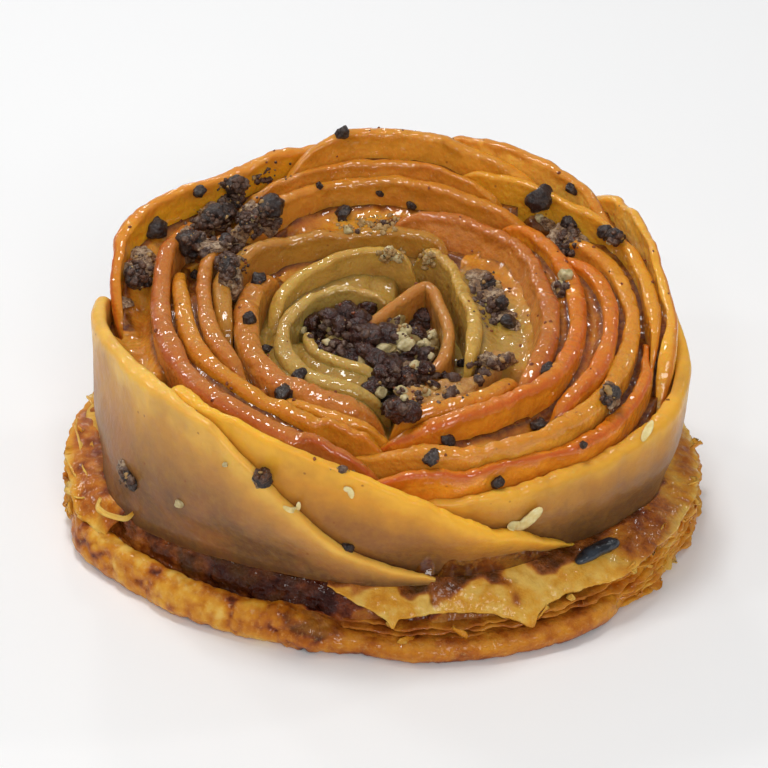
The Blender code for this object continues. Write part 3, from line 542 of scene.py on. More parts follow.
def shade(tree, colour, roughness, relief=None, film=None, **sockets):
    """The Principled shader and the output; film is the clear coat's relief where it isn't the body's."""
    inputs = {"Base Color": colour, "Roughness": roughness, "Normal": relief, "Coat Normal": film or relief}
    inputs.update((key.replace("_", " "), value) for key, value in sockets.items())
    surface = add_node(tree, "ShaderNodeBsdfPrincipled", inputs)
    add_node(tree, "ShaderNodeOutputMaterial", {"Surface": surface})


def glazed_apple(name):
    """Thin slice of baked apple under a clear fruit glaze: soft and wet, and light passes a bit into it.

    Its colour goes by the depth below the rim: lighter at the rim, a painted glow of light through the thin
    slice, and darker deep down, painted shade between the bands over the flesh's own colour. Over it lie
    patches where red skin colour has soaked in, cells of the flesh that hold more or less syrup, stains, the
    line of skin along the rim and specks of spice. The outer walls are smoother and duller.
    """
    found = bpy.data.materials.get("glazed_apple_" + name)
    if found:
        return found
    line, rim, near, face, deep, blush = APPLE_FINISHES[name]
    wall = name.startswith("wall")
    made, tree, place = blank_material("glazed_apple_" + name)
    depth, skin = (add_node(tree, FIELD, output="Fac", attribute_name=key) for key in ("depth", "skin"))
    # Noise: the size of its features in millimetres, its detail and its roughness.
    wander, patches, cells, stains, sparse, pits, swells, ripples = (
        add_node(tree, NOISE, {"Vector": place, "Scale": 1 / (size * MM), "Detail": detail,
                               "Roughness": coarse})
        for size, detail, coarse in ((5.0, 3.0, 0.55), (9.0, 3.0, 0.55), (1.1, 4.0, 0.65), (2.6, 4.0, 0.65),
                                     (4.0, 1.0, 0.55), (0.8, 2.0, 0.5), (2.4, 2.0, 0.5), (1.7, 1.0, 0.55)))
    dots = add_node(tree, VORONOI, {"Vector": place, "Scale": 1 / (2.6 * MM)})
    shift, patch, cell, stain, here, dot, roughness = (
        add_node(tree, RANGE, {"Value": value, "From Min": low, "From Max": high, "To Min": start,
                               "To Max": end})
        for value, low, high, start, end in (
            (wander, 0.3, 0.7, -1.4, 1.4), (patches, 0.48, 0.72, 0.0, 0.5),
            (cells, 0.40, 0.70, 0.0, 0.1 if wall else 0.3),
            (stains, 0.54, 0.76, 0.0, 0.12 if wall else 0.35), (sparse, 0.50, 0.56, 0.0, 1.0),
            (dots, 0.04, 0.11, SPICE_SHARE, 0.0), (cells, 0.3, 0.7, 0.35, 0.55)))
    shifted = add_node(tree, MATH, {0: depth, 1: shift}, operation="ADD")
    # lighter near the rim paints the glow of light through the thin rim; darker deep down paints the shade
    # between the bands, over the flesh's own colour
    down = add_node(tree, RANGE, {"Value": shifted, "From Max": COLOUR_DEPTH})
    places = (0.0, 0.06, 0.24, 0.54, 0.9) if wall else (0.0, 0.03, 0.10, 0.24, 0.55)
    colour = add_node(tree, RAMP, {0: down}, stops=tuple(zip(places, (rim, rim, near, face, deep))))
    spice = add_node(tree, MATH, {0: dot, 1: here}, operation="MULTIPLY")
    for share, tint in ((patch, blush), (cell, rim), (stain, blush if wall else deep), (skin, line),
                        (spice, SPICE)):
        colour = add_node(tree, MIX, {0: share, 6: colour, 7: srgb(tint)}, 2, data_type="RGBA")
    relief = None
    for height, rise, strength in ((pits, 0.3, 0.35 if wall else 0.9), (swells, 0.6, 0.3 if wall else 0.7)):
        relief = add_node(tree, BUMP, {"Height": height, "Distance": rise * MM, "Strength": strength,
                                       "Normal": relief})
    film = add_node(tree, BUMP, {"Height": ripples, "Distance": 0.45 * MM, "Strength": 0.25 if wall else 0.8})
    shade(tree, colour, roughness, relief, film, IOR=1.36, Specular_IOR_Level=0.15,
          Subsurface_Weight=0.45, Subsurface_Radius=(1.0, 0.36, 0.08), Subsurface_Scale=0.0018,
          Coat_Weight=0.3 if wall else settings().glaze, Coat_Roughness=0.16 if wall else 0.03, Coat_IOR=1.5)
    return made


def baked_pastry():
    """Butter puff pastry baked hard: dry golden flakes, browned high spots and gaps, and syrup soaked in."""
    found = bpy.data.materials.get("baked_puff_pastry")
    if found:
        return found
    made, tree, place = blank_material("baked_puff_pastry")
    bake, wet = (add_node(tree, FIELD, output="Fac", attribute_name=key) for key in ("bake", "syrup"))
    # Noise: the size of its features in millimetres, its detail and its roughness.
    mottle, fine, sticky, ripples = (
        add_node(tree, NOISE, {"Vector": place, "Scale": 1 / (size * MM), "Detail": detail,
                               "Roughness": coarse})
        for size, detail, coarse in ((3.0, 4.0, 0.6), (0.8, 4.0, 0.7), (1.3, 3.0, 0.6), (1.4, 1.0, 0.55)))
    wander, floury, seep, covered, roughness = (
        add_node(tree, RANGE, {"Value": value, "From Min": low, "From Max": high, "To Min": start,
                               "To Max": end})
        for value, low, high, start, end in (
            (mottle, 0.3, 0.7, -0.2, 0.2), (fine, 0.54, 0.75, 0.0, 0.35), (mottle, 0.3, 0.7, -0.28, 0.28),
            (wet, 0.05, 0.35, 0.0, 0.92), (wet, 0.1, 0.5, 0.55, 0.2)))
    browning, soak = (add_node(tree, MATH, {0: first, 1: second}, operation="ADD")
                      for first, second in ((bake, wander), (wet, seep)))
    colour = add_node(tree, RAMP, {0: browning}, stops=(
        (0.0, settings().butter), (0.2, "#DE9E30"), (0.40, "#CC8018"), (0.60, "#B2600E"), (0.82, "#7C3408"),
        (1.0, settings().crust)))
    soaked = add_node(tree, RAMP, {0: soak}, stops=(
        (0.1, "#C88428"), (0.35, "#B0621C"), (0.6, "#843C14"), (0.85, "#4C1808"), (1.0, "#340C04")))
    for share, tint in ((floury, srgb("#EEC878")), (covered, soaked)):
        colour = add_node(tree, MIX, {0: share, 6: colour, 7: tint}, 2, data_type="RGBA")
    pool = add_node(tree, MATH, {0: sticky, 1: wet}, operation="MULTIPLY")
    relief = None
    for height, rise, strength in ((fine, 0.25, 0.7), (mottle, 0.6, 0.4), (pool, 1.6, 0.8)):
        relief = add_node(tree, BUMP, {"Height": height, "Distance": rise * MM, "Strength": strength,
                                       "Normal": relief})
    film = add_node(tree, BUMP, {"Height": ripples, "Distance": 0.5 * MM, "Strength": 0.8})
    shade(tree, colour, roughness, relief, film, IOR=1.45, Specular_IOR_Level=0.15, Subsurface_Weight=0.15,
          Subsurface_Radius=(1.0, 0.5, 0.2), Subsurface_Scale=0.001, Coat_Weight=0.45, Coat_Roughness=0.08,
          Coat_IOR=1.45)
    return made


def grainy(name, tones, stops, roughness, relief, **sockets):
    """A finish whose colour runs along a ramp over one noise and whose relief follows another.

    The tones are the size of the noise's features in millimetres, its detail and its roughness; the relief is
    the same and then how high it rises in millimetres, and its strength.
    """
    made, tree, place = blank_material(name)
    tone, height = (
        add_node(tree, NOISE, {"Vector": place, "Scale": 1 / (size * MM), "Detail": detail,
                               "Roughness": coarse})
        for size, detail, coarse in (tones, relief[:3]))
    bumps = add_node(tree, BUMP, {"Height": height, "Distance": relief[3] * MM, "Strength": relief[4]})
    shade(tree, add_node(tree, RAMP, {0: tone}, stops=stops), roughness, bumps, **sockets)
    return made


def toasted_crumb(name, low, high, frost, roughness, frost_colour="#9A8876"):
    """Broken toasted biscuit: dry, dark and pitted, in places dusted with cream, up to the share frost."""
    made, tree, place = blank_material(name)
    fine, dust = (
        add_node(tree, NOISE, {"Vector": place, "Scale": 1 / (size * MM), "Detail": detail,
                               "Roughness": coarse})
        for size, detail, coarse in ((0.6, 4.0, 0.7), (1.8, 3.0, 0.55)))
    patches, grains = (
        add_node(tree, RANGE, {"Value": value, "From Min": start, "From Max": end, "To Max": most})
        for value, start, end, most in ((dust, 0.44, 0.62, frost), (fine, 0.40, 0.60, 1.0)))
    dusting = add_node(tree, MATH, {0: patches, 1: grains}, operation="MULTIPLY")
    colour = add_node(tree, RAMP, {0: fine}, stops=((0.32, low), (0.68, high)))
    colour = add_node(tree, MIX, {0: dusting, 6: colour, 7: srgb(frost_colour)}, 2, data_type="RGBA")
    pits = add_node(tree, BUMP, {"Height": fine, "Distance": 0.35 * MM, "Strength": 0.9})
    shade(tree, colour, roughness, pits, IOR=1.45, Specular_IOR_Level=0.3, Coat_Weight=0.45,
          Coat_Roughness=0.14)
    return made


def pale_cream(low, middle, high):
    """Bits of baked cream and almond: matt, off-white, a little translucent."""
    return grainy("baked_cream", (1.2, 3.0, 0.55), ((0.3, low), (0.6, middle), (0.8, high)), 0.5,
                  (0.8, 3.0, 0.55, 0.3, 0.6), IOR=1.4, Specular_IOR_Level=0.3, Subsurface_Weight=0.25,
                  Subsurface_Radius=(1.0, 0.7, 0.4), Subsurface_Scale=0.001, Coat_Weight=0.3,
                  Coat_Roughness=0.2)


def crumbly_filling(name, dark, brown, tan, pale):
    """Crumbs baked into cream between the slices: beige and brown, wet with syrup."""
    return grainy(name, (2.2, 4.0, 0.65), ((0.28, dark), (0.42, brown), (0.56, tan), (0.72, pale)), 0.4,
                  (1.0, 4.0, 0.55, 0.5, 0.8), IOR=1.4, Specular_IOR_Level=0.2, Subsurface_Weight=0.3,
                  Subsurface_Radius=(1.0, 0.5, 0.2), Subsurface_Scale=0.0012, Coat_Weight=0.6,
                  Coat_Roughness=0.1)


def dried_fruit_skin():
    """A dried berry stalk: blue-black, wrinkled and shiny."""
    return grainy("dried_fruit_skin", (1.5, 3.0, 0.55), ((0.3, "#0C0D12"), (0.7, "#2A3440")), 0.3,
                  (0.9, 3.0, 0.55, 0.3, 0.6), IOR=1.45, Coat_Weight=0.4, Coat_Roughness=0.15)


def studio_floor():
    """Matt white laminate, with cloudy differences of a few centimetres that can hardly be seen."""
    made, tree, place = blank_material("matt_white_floor")
    clouds = add_node(tree, NOISE, {"Vector": place, "Scale": 1 / (60.0 * MM), "Detail": 1.0,
                                    "Roughness": 0.55})
    colour = add_node(tree, RAMP, {0: clouds}, stops=((0.0, settings().floor), (1.0, "#F8F8F8")))
    shade(tree, colour, 0.6, IOR=1.45)
    return made


# ---------------------------------------------------------------- apple bands

def packed_bands():
    """For each band its columns: degrees, radius at LEAN_HEIGHT, half thickness, rim height and belly.

    Where rims crowd, both bands first thin to THINNEST of their thickness; what is still missing pushes the
    inner in.
    """
    wanted = []
    for piece in BANDS:
        start, end = piece.rim[0][0], piece.rim[-1][0]
        degrees = np.arange(math.ceil(start / STEP_DEG), math.floor(end / STEP_DEG) + 1) * STEP_DEG
        along = (degrees - degrees[0]) / (degrees[-1] - degrees[0])
        near_tip = np.sin(np.clip(np.minimum(along, 1 - along) / TIP_SHARE, 0, 1) * math.pi / 2)
        half = piece.thickness / 2 * settings().thickness / (BAND_THICKNESS * MM)
        half = half * (TIP_THICKNESS + (1 - TIP_THICKNESS) * near_tip)
        rim = profile(piece.rim, 2, degrees)
        radius = profile(piece.rim, 1, degrees) - LEAN * (rim - LEAN_HEIGHT)
        wanted.append([degrees, radius, half, rim, piece.belly * near_tip])
    # crowding: compare each band with the next one outside it at the same angle
    outer_radius = np.full(COLUMNS, 1e9)
    outer_half = np.zeros(COLUMNS)
    outer_index = np.full(COLUMNS, -1)
    scale = [np.ones(len(columns[0])) for columns in wanted]
    starts = [int(round(columns[0][0] / STEP_DEG)) for columns in wanted]
    for index, (degrees, radius, half, rim, belly) in enumerate(wanted):
        spots = (starts[index] + np.arange(len(degrees))) % COLUMNS
        need = half + outer_half[spots] + TOUCH
        share = np.clip((outer_radius[spots] - radius) / need, THINNEST, 1)
        scale[index] = np.minimum(scale[index], share)
        for other in set(outer_index[spots]) - {-1}:
            here = outer_index[spots] == other
            rows = (spots[here] - starts[other]) % COLUMNS
            scale[other][rows] = np.minimum(scale[other][rows], share[here])
        outer_radius[spots], outer_half[spots], outer_index[spots] = radius, half, index
    limit = np.full(COLUMNS, 1e9)
    packed = []
    for index, (degrees, radius, half, rim, belly) in enumerate(wanted):
        spots = (starts[index] + np.arange(len(degrees))) % COLUMNS
        half = half * blur(scale[index], 4 / STEP_DEG)
        radius = np.minimum(radius, limit[spots] - half - TOUCH)
        radius = blur(radius, 3 / STEP_DEG)
        limit[spots] = np.minimum(limit[spots], radius - half)
        packed.append((degrees, radius, half, rim, belly))
    return packed


WALL_ROWS = 20
CAP_ROWS = 15


def band_grid(number, columns, piece):
    """Surface of a band, a function of the angle and of the way round its section.

    The section rises from the foot up the outer wall, over a flat-topped round rim and down the inner wall;
    each wall is the band's middle line, which leans and sways, plus or minus the half thickness, and noise
    along it gives dents, a wandering rim and bubbles in the glaze.
    """
    degrees, radius, half, rim, belly = columns
    seed = 31 * number
    arc = np.stack([np.radians(degrees) * radius, np.zeros_like(degrees), np.zeros_like(degrees)], -1)
    wander = 0.34 * noise(arc, 7.0, seed) + 0.20 * noise(arc, 2.6, seed + 1)
    rim = rim + wander + 0.10 * noise(arc, 1.1, seed + 4)
    half = half * (1 + 0.16 * noise(arc, 6.0, seed + 2))
    sway = 0.35 * noise(arc, 11.0, seed + 3)
    foot = profile(WALL_FOOT, 2, degrees) if number == 1 else np.full_like(rim, BAND_FOOT)
    out = through(FRONT_TUCK, degrees) if number == 2 else 0 * rim
    if number == 1:
        out = profile(WALL_FOOT, 1, degrees) - half - radius - lean(foot)
    cap = np.minimum(half, (rim - foot) * 0.35)
    shoulder = rim - cap
    up = 1 - (1 - np.linspace(0, 1, WALL_ROWS)) ** 1.7
    turn = np.linspace(0, math.pi, CAP_ROWS + 2)[1:-1]
    # the crest leans inwards
    across = np.sign(np.cos(turn)) * np.abs(np.cos(turn)) ** 0.85 - 0.25 * np.sin(turn)
    over = np.sin(turn) ** 0.75
    wall = foot[:, None] + (shoulder - foot)[:, None] * up
    height = np.concatenate([wall, shoulder[:, None] + cap[:, None] * over, wall[:, ::-1]], axis=1)
    side = np.concatenate([np.ones(WALL_ROWS), across, -np.ones(WALL_ROWS)])[None, :]
    share = (height - foot[:, None]) / (rim - foot)[:, None]
    offset = half[:, None] * side
    swell = belly[:, None] * (side < 0) * eased((1 - share) * 4)
    middle = radius[:, None] + lean(height) + sway[:, None] * (share - 0.4)
    middle = middle + out[:, None] * np.clip(1 - share, 0, 1) ** 1.5
    points = polar(middle + offset - swell, degrees[:, None], height)
    depth = np.maximum(rim[:, None] - height, 0)
    near_rim = np.exp(-depth / 3.0)
    relief = (0.14 * rough(points, 3.4, seed + 5) + 0.02 * noise(points, 0.7, seed + 7)
              + piece.bubbles * (0.25 + 0.75 * near_rim) * (0.24 * (blisters(points, 1.7, seed + 6) - 0.5)
                                                            + 0.16 * (blisters(points, 0.9, seed + 9) - 0.5)))
    points = points + relief[..., None] * normals_of(points)
    skin = np.exp(-((np.broadcast_to(side, depth.shape) - 0.75) / 0.35) ** 2) * np.exp(-depth / 0.9)
    # a wall's colour darkens from rim to foot: partly its tan flesh, partly painted shade on the lower wall
    # that faces down, away from the light
    if number <= WALLS:
        depth = WALL_DEPTH * (1 - share) * np.clip((rim - foot)[:, None] / 14.0, 0.85, 1.0)
    return points, depth, skin


def make_bands():
    """Each band as a closed tube round its section, in place of its solid, and then the folded one."""
    for number, (piece, columns) in enumerate(zip(BANDS, packed_bands()), 1):
        grid, depth, skin = band_grid(number, columns, piece)
        points, faces = tube(grid)
        made = mesh_object(f"apple_band_{number:02d}", points, faces, glazed_apple(piece.finish),
                           {"depth": depth, "skin": skin})
        face_outwards(made)
        settle(made, frame_slot(f"apple_slice_{number:02d}"), f"apple_slice_{number:02d}")
    make_fold()


def frame_slot(node):
    """The material slot that the record gives to a solid."""
    return next(part["material_slot"] for part in frame["record"]["subparts"] if part["node"] == node)


def make_fold():
    """The folded band: a wall of even thickness along its path in plan, its rim's height given along it."""
    spots = np.linspace(0, len(FOLD_PATH) - 1, FOLD_COLUMNS)
    x, y, rim = curve([(*place, level) for place, level in zip(FOLD_PATH, FOLD_RIM)], spots).T
    path = np.stack([blur(x, 4), blur(y, 4)], -1)
    along = np.gradient(path, axis=0)
    along /= np.linalg.norm(along, axis=1)[:, None]
    across = np.stack([along[:, 1], -along[:, 0]], -1)
    ends = np.minimum(np.arange(FOLD_COLUMNS), np.arange(FOLD_COLUMNS)[::-1])
    half = FOLD_THICKNESS / 2 * (0.35 + 0.65 * eased(ends / 12))
    turn = np.linspace(0, math.pi, CAP_ROWS + 2)[1:-1]
    cap = half * 1.1
    shoulder = rim - cap
    wall = FOLD_FOOT + (shoulder - FOLD_FOOT)[:, None] * np.linspace(0, 1, FOLD_ROWS)
    height = np.concatenate([wall, shoulder[:, None] + cap[:, None] * np.sin(turn), wall[:, ::-1]], axis=1)
    side = np.concatenate([np.ones(FOLD_ROWS), np.cos(turn), -np.ones(FOLD_ROWS)])[None, :]
    flat = path[:, None, :] + across[:, None, :] * (half[:, None] * side)[..., None]
    grid = np.concatenate([flat + np.array(ROSE_AXIS), height[..., None]], -1)
    grid += 0.14 * rough(grid, 2.4, 900)[..., None] * np.concatenate(
        [across[:, None, :] * side[..., None], 0 * height[..., None]], -1)
    points, faces = tube(grid)
    depth = np.maximum(rim[:, None] - height, 0)
    made = mesh_object("apple_band_27", points, faces, glazed_apple("tan"),
                       {"depth": depth, "skin": np.zeros_like(depth)})
    face_outwards(made)
    settle(made, frame_slot("apple_slice_27"), "apple_slice_27")


# ---------------------------------------------------------------- filling between the bands

def spots_on(columns, degrees):
    """Angles counted on from a band's first tip, and whether the band is there at each."""
    place = columns[0][0] + np.mod(degrees - columns[0][0], 360)
    return place, place <= columns[0][-1]


def filling_surface(degrees, radius, packed, drop):
    """Height of the filling between the bands, a drop below the lower of the two rims, and its painted
    crevice shade.

    The drop is least beside a band, where the pulp clings to it, and full in the middle of a wide gap. A tip
    that dives between two high rims doesn't draw the filling down by more than DIVE, except in the outer
    walls. Inside the innermost band it sinks to the heap.
    """
    level_out = np.full(degrees.shape, np.nan)
    level_in = np.full(degrees.shape, np.nan)
    gap_out = np.full(degrees.shape, 1e9)
    gap_in = np.full(degrees.shape, 1e9)
    behind_wall = np.ones(degrees.shape, bool)
    for index, columns in enumerate(packed):
        place, there = spots_on(columns, degrees)
        r = np.interp(place, columns[0], columns[1])
        z = np.interp(place, columns[0], columns[3])
        gap = r - radius
        better = there & (gap >= 0) & (gap < gap_out)
        level_out, gap_out = np.where(better, z, level_out), np.where(better, gap, gap_out)
        behind_wall = np.where(better, index < WALLS, behind_wall)
        better = there & (gap < 0) & (-gap < gap_in)
        level_in, gap_in = np.where(better, z, level_in), np.where(better, -gap, gap_in)
    lower = np.fmin(level_out, level_in)
    lower = np.where(behind_wall, lower, np.fmax(lower, np.fmax(level_out, level_in) - DIVE))
    sag = 0.55 + 0.45 * eased((np.minimum(gap_out, gap_in) - 1.0) / 3.0)
    # painted shade: the filling darkens where the gap to a band is narrow, for the shade in the crevices,
    # with a little syrup browning at the edges
    crevice_shade = 1 - eased((np.minimum(gap_out, gap_in) - 1.1) / 1.5)
    return np.where(np.isnan(level_in), HEART_TOP - 1.0, lower - drop * sag), crevice_shade


def outermost_radius(degrees, packed):
    """Middle line of the outermost band at each angle, at LEAN_HEIGHT."""
    reach = np.zeros_like(degrees, dtype=float)
    for columns in packed:
        place, there = spots_on(columns, degrees)
        reach = np.where(there, np.maximum(reach, np.interp(place, columns[0], columns[1])), reach)
    return reach


def make_syrup():
    """Soft pulp and syrup between the bands: a sheet over share of the radius and angle, a little below the
    rims."""
    packed = packed_bands()
    degrees = np.arange(0, 360, SYRUP_STEP_DEG)
    shares = np.linspace(0, 1, SYRUP_COLUMNS)
    reach = outermost_radius(degrees, packed)
    radius = SYRUP_START + (reach[:, None] - SYRUP_START) * shares
    angle = np.broadcast_to(degrees[:, None], radius.shape)
    height, crevice_shade = filling_surface(angle, radius - 0.01, packed, through(FILLING_DROP, angle, 360))
    lowest = height.copy()
    for shift in (-3, -1, 1, 3):
        lowest = np.minimum(lowest, np.roll(height, shift, 0))
    for _ in range(4):
        lowest = (lowest + np.roll(lowest, 1, 0) + np.roll(lowest, -1, 0)) / 3
    lowest = np.maximum(lowest * eased(shares / 0.04), PASTRY_TOP - 0.1)
    top = polar(radius + lean(lowest), angle, lowest)
    top[..., 2] += 0.35 * rough(top, 3.5, 41) + 0.22 * blisters(top, 1.8, 42)
    base = polar(radius + lean(PASTRY_TOP), angle, PASTRY_TOP - 0.25)
    grid = np.concatenate([top, base[:, ::-1]], axis=1)
    rows, size = grid.shape[:2]
    # the pulp's colour: random patches, darker where the filling lies low and darker in the crevices beside
    # the bands; the darkening low down and in the crevices is painted shade
    depth = 2.0 + 4.0 * np.clip(rough(grid, 6.0, 43), -0.5, 1.5) + np.maximum(30 - grid[..., 2], 0)
    depth[:, :len(shares)] += 13.0 * crevice_shade
    straw = np.concatenate([radius, radius[:, ::-1]], axis=1)
    straw = 0.8 * eased((STRAW_REACH - straw) / 4.0)
    made = mesh_object("syrup_between_bands", grid.reshape(-1, 3), grid_faces(rows, size, True, True),
                       glazed_apple("pulp"), {"depth": depth, "skin": straw})
    face_outwards(made)
    settle(made, "apple")


# ---------------------------------------------------------------- crumbs

def unit_ball(levels):
    """An icosphere of radius 1 as points and triangles."""
    shape = bmesh.new()
    bmesh.ops.create_icosphere(shape, subdivisions=levels, radius=1.0)
    points = np.array([v.co[:] for v in shape.verts])
    faces = np.array([[v.index for v in f.verts] for f in shape.faces])
    shape.free()
    return points, faces


def frames_about(axes, turns):
    """A turned frame about each unit axis, as matrices whose columns are side, ahead and the axis."""
    helper = np.where(np.abs(axes[:, 2:3]) < 0.9, [[0.0, 0.0, 1.0]], [[1.0, 0.0, 0.0]])
    side = np.cross(helper, axes)
    side /= np.linalg.norm(side, axis=1)[:, None]
    ahead = np.cross(axes, side)
    c, s = np.cos(turns)[:, None], np.sin(turns)[:, None]
    return np.stack([side * c + ahead * s, ahead * c - side * s, axes], -1)


def lumps(places, sizes, seed, levels=3, pits=0.22, flat=0.85, grit=0.0, axes=None):
    """Broken lumps at given places: a ball cut back by random planes, then dented by noise and by grit.

    Each is flattened along its own axis, which is near upright where none is given, and turned about it.
    """
    rng = np.random.default_rng(seed)
    ball, ball_faces = unit_ball(levels)
    places, sizes = np.asarray(places, float), np.asarray(sizes, float)
    count = len(places)
    planes = rng.normal(size=(count, 12, 3))
    planes /= np.linalg.norm(planes, axis=2)[..., None]
    cut = rng.uniform(0.66, 1.0, (count, 12, 1))
    reach = cut / np.maximum(np.einsum("nkj,vj->nkv", planes, ball), 0.02)
    radius = np.minimum(1.0, reach.min(axis=1))
    own = ball[None] + rng.uniform(-50, 50, (count, 1, 3))
    radius = radius * (1 + pits * (noise(own, 0.55, seed) + 0.6 * noise(own, 0.25, seed + 1)))
    if grit:
        radius = radius + grit * (blisters(own, 0.30, seed + 2) + 0.5 * blisters(own, 0.16, seed + 3) - 0.7)
    stretch = rng.uniform(0.8, 1.25, (count, 1, 3)) * np.array([1, 1, flat]) * 1.15
    shape = ball[None] * radius[..., None] * stretch
    if axes is None:
        axes = np.stack([rng.normal(0, 0.5, count), rng.normal(0, 0.5, count), np.ones(count)], -1)
        axes /= np.linalg.norm(axes, axis=1)[:, None]
    spin = frames_about(np.asarray(axes, float), rng.uniform(0, 2 * math.pi, count))
    points = places[:, None, :] + np.einsum("nij,nkj->nki", spin, shape) * (sizes / 2)[:, None, None]
    faces = (ball_faces[None] + (np.arange(count) * len(ball))[:, None, None]).reshape(-1, 3)
    return points.reshape(-1, 3), faces


def camera_geometry():
    """The camera's place in metres, and the unit vectors that point forward, right and up from it."""
    tilt = math.radians(CAMERA_TILT)
    back = Vector((0, -math.cos(tilt), math.sin(tilt)))
    aim = Vector((ROSE_AXIS[0], ROSE_AXIS[1], CAMERA_AIM_HEIGHT)) * MM
    right = Vector((1, 0, 0))
    return aim + back * CAMERA_DISTANCE * MM, -back, right, back.cross(right)


def seen(spots):
    """What the camera sees at (column, row) places of its frame: points in millimetres, the normals there,
    and which of the places lie on the tart.
    """
    eye, forward, right, up = camera_geometry()
    focal = LENS / SENSOR * FRAME_PIXELS
    graph = bpy.context.evaluated_depsgraph_get()
    places, normals, on_tart = [], [], []
    for column, row in spots:
        across, upwards = (column - FRAME_PIXELS / 2) / focal, (FRAME_PIXELS / 2 - row) / focal
        ray = forward + right * across + up * upwards
        hit, place, normal, _, _, _ = bpy.context.scene.ray_cast(graph, eye, ray.normalized())
        on_tart.append(hit and place.z > MM)
        places.append(tuple(place / MM))
        normals.append(tuple(normal))
    on_tart = np.array(on_tart)
    return np.array(places)[on_tart], np.array(normals)[on_tart], on_tart


# Masses of crumbs baked together on the bands: column and row in the camera's frame, size, and share of it
# that is its height.
CRUMB_MASSES = ((236, 188, 3.0, 0.7), (228, 202, 3.0, 0.5), (264, 224, 4.4, 0.45), (250, 214, 3.4, 0.4),
                (240, 236, 4.4, 0.35), (214, 216, 4.0, 0.7), (204, 228, 3.0, 0.4), (186, 240, 3.8, 0.6),
                (190, 254, 3.2, 0.5), (229, 264, 4.2, 0.4), (232, 281, 4.6, 0.75), (214, 246, 3.4, 0.35),
                (138, 274, 4.4, 0.7), (144, 260, 3.2, 0.6), (124, 303, 2.2, 0.5), (568, 238, 5.0, 0.5),
                (549, 224, 2.4, 0.5), (561, 290, 3.2, 0.7), (475, 275, 2.8, 0.4), (484, 284, 3.6, 0.4),
                (492, 294, 3.4, 0.35), (497, 305, 3.6, 0.4), (504, 316, 3.0, 0.4), (511, 325, 2.4, 0.4),
                (490, 363, 3.0, 0.4), (507, 360, 2.4, 0.4), (404, 376, 5.4, 0.35), (420, 378, 4.6, 0.35),
                (610, 396, 3.4, 0.5), (262, 478, 2.6, 0.6), (125, 474, 3.0, 0.6))
# Dark crumbs: column, row and size.
DARK_CRUMBS = ((343, 134, 2.4), (235, 186, 2.8), (236, 200, 2.2), (270, 208, 3.4), (199, 191, 2.0),
               (155, 227, 3.2), (217, 214, 3.6), (207, 222, 2.4), (188, 242, 3.4), (192, 250, 2.4),
               (194, 275, 1.8), (138, 277, 3.8), (146, 281, 2.0), (541, 199, 4.0), (573, 189, 2.0),
               (570, 222, 2.8), (605, 231, 2.4), (617, 238, 2.8), (563, 250, 2.0), (545, 371, 2.0),
               (610, 392, 2.4), (607, 400, 1.8), (541, 425, 2.2), (583, 445, 1.4), (448, 439, 1.8),
               (432, 457, 2.2), (300, 378, 2.8), (287, 394, 2.8), (250, 320, 2.0), (258, 281, 2.2),
               (396, 409, 3.6), (408, 411, 3.0), (262, 479, 2.2), (128, 476, 2.2), (134, 484, 1.6),
               (496, 481, 1.8), (348, 547, 2.0), (268, 350, 1.8), (343, 214, 2.4), (411, 205, 1.4),
               (319, 186, 1.2), (380, 193, 1.2), (462, 365, 1.6), (488, 285, 2.2), (500, 304, 2.4),
               (508, 322, 2.0), (374, 384, 2.0), (246, 226, 2.2), (226, 240, 2.4), (229, 268, 2.6),
               (236, 252, 2.0))
# Wet dark chunks in the heart: column, row and size.
HEART_CHUNKS = ((310, 322, 3.4), (319, 333, 3.0), (330, 318, 3.2), (346, 317, 3.6), (366, 309, 3.0),
                (356, 326, 2.8), (341, 328, 3.0), (322, 344, 2.4), (335, 350, 3.2), (347, 358, 2.6),
                (368, 336, 4.4), (376, 347, 3.4), (390, 336, 3.8), (378, 360, 3.6), (364, 352, 2.8),
                (421, 315, 3.2), (428, 324, 3.0), (414, 324, 2.6), (410, 352, 2.4), (418, 334, 2.4),
                (372, 386, 2.8), (380, 375, 3.0), (393, 371, 3.2), (405, 377, 3.0), (418, 374, 3.0),
                (427, 370, 2.4), (410, 384, 2.6), (394, 381, 2.4), (443, 377, 1.6), (434, 386, 1.8),
                (400, 410, 3.4), (409, 412, 2.6), (392, 408, 2.6), (352, 338, 2.6), (360, 318, 2.6))
# Bits of cream: column, row and size.
CREAM_BITS = ((328, 343, 1.4), (383, 349, 2.0), (399, 338, 2.4), (406, 346, 2.0), (404, 330, 1.6),
              (426, 344, 1.4), (415, 367, 1.6), (402, 391, 1.8), (379, 392, 1.6), (426, 394, 1.2),
              (302, 330, 1.2), (433, 335, 1.4), (540, 219, 1.5), (566, 276, 2.0), (560, 284, 1.2),
              (348, 232, 1.6), (610, 241, 1.0), (252, 218, 1.0), (404, 398, 1.0), (226, 464, 0.8),
              (180, 503, 1.2), (341, 124, 1.2), (390, 253, 2.0), (398, 258, 1.6), (384, 257, 1.4),
              (429, 258, 1.6))

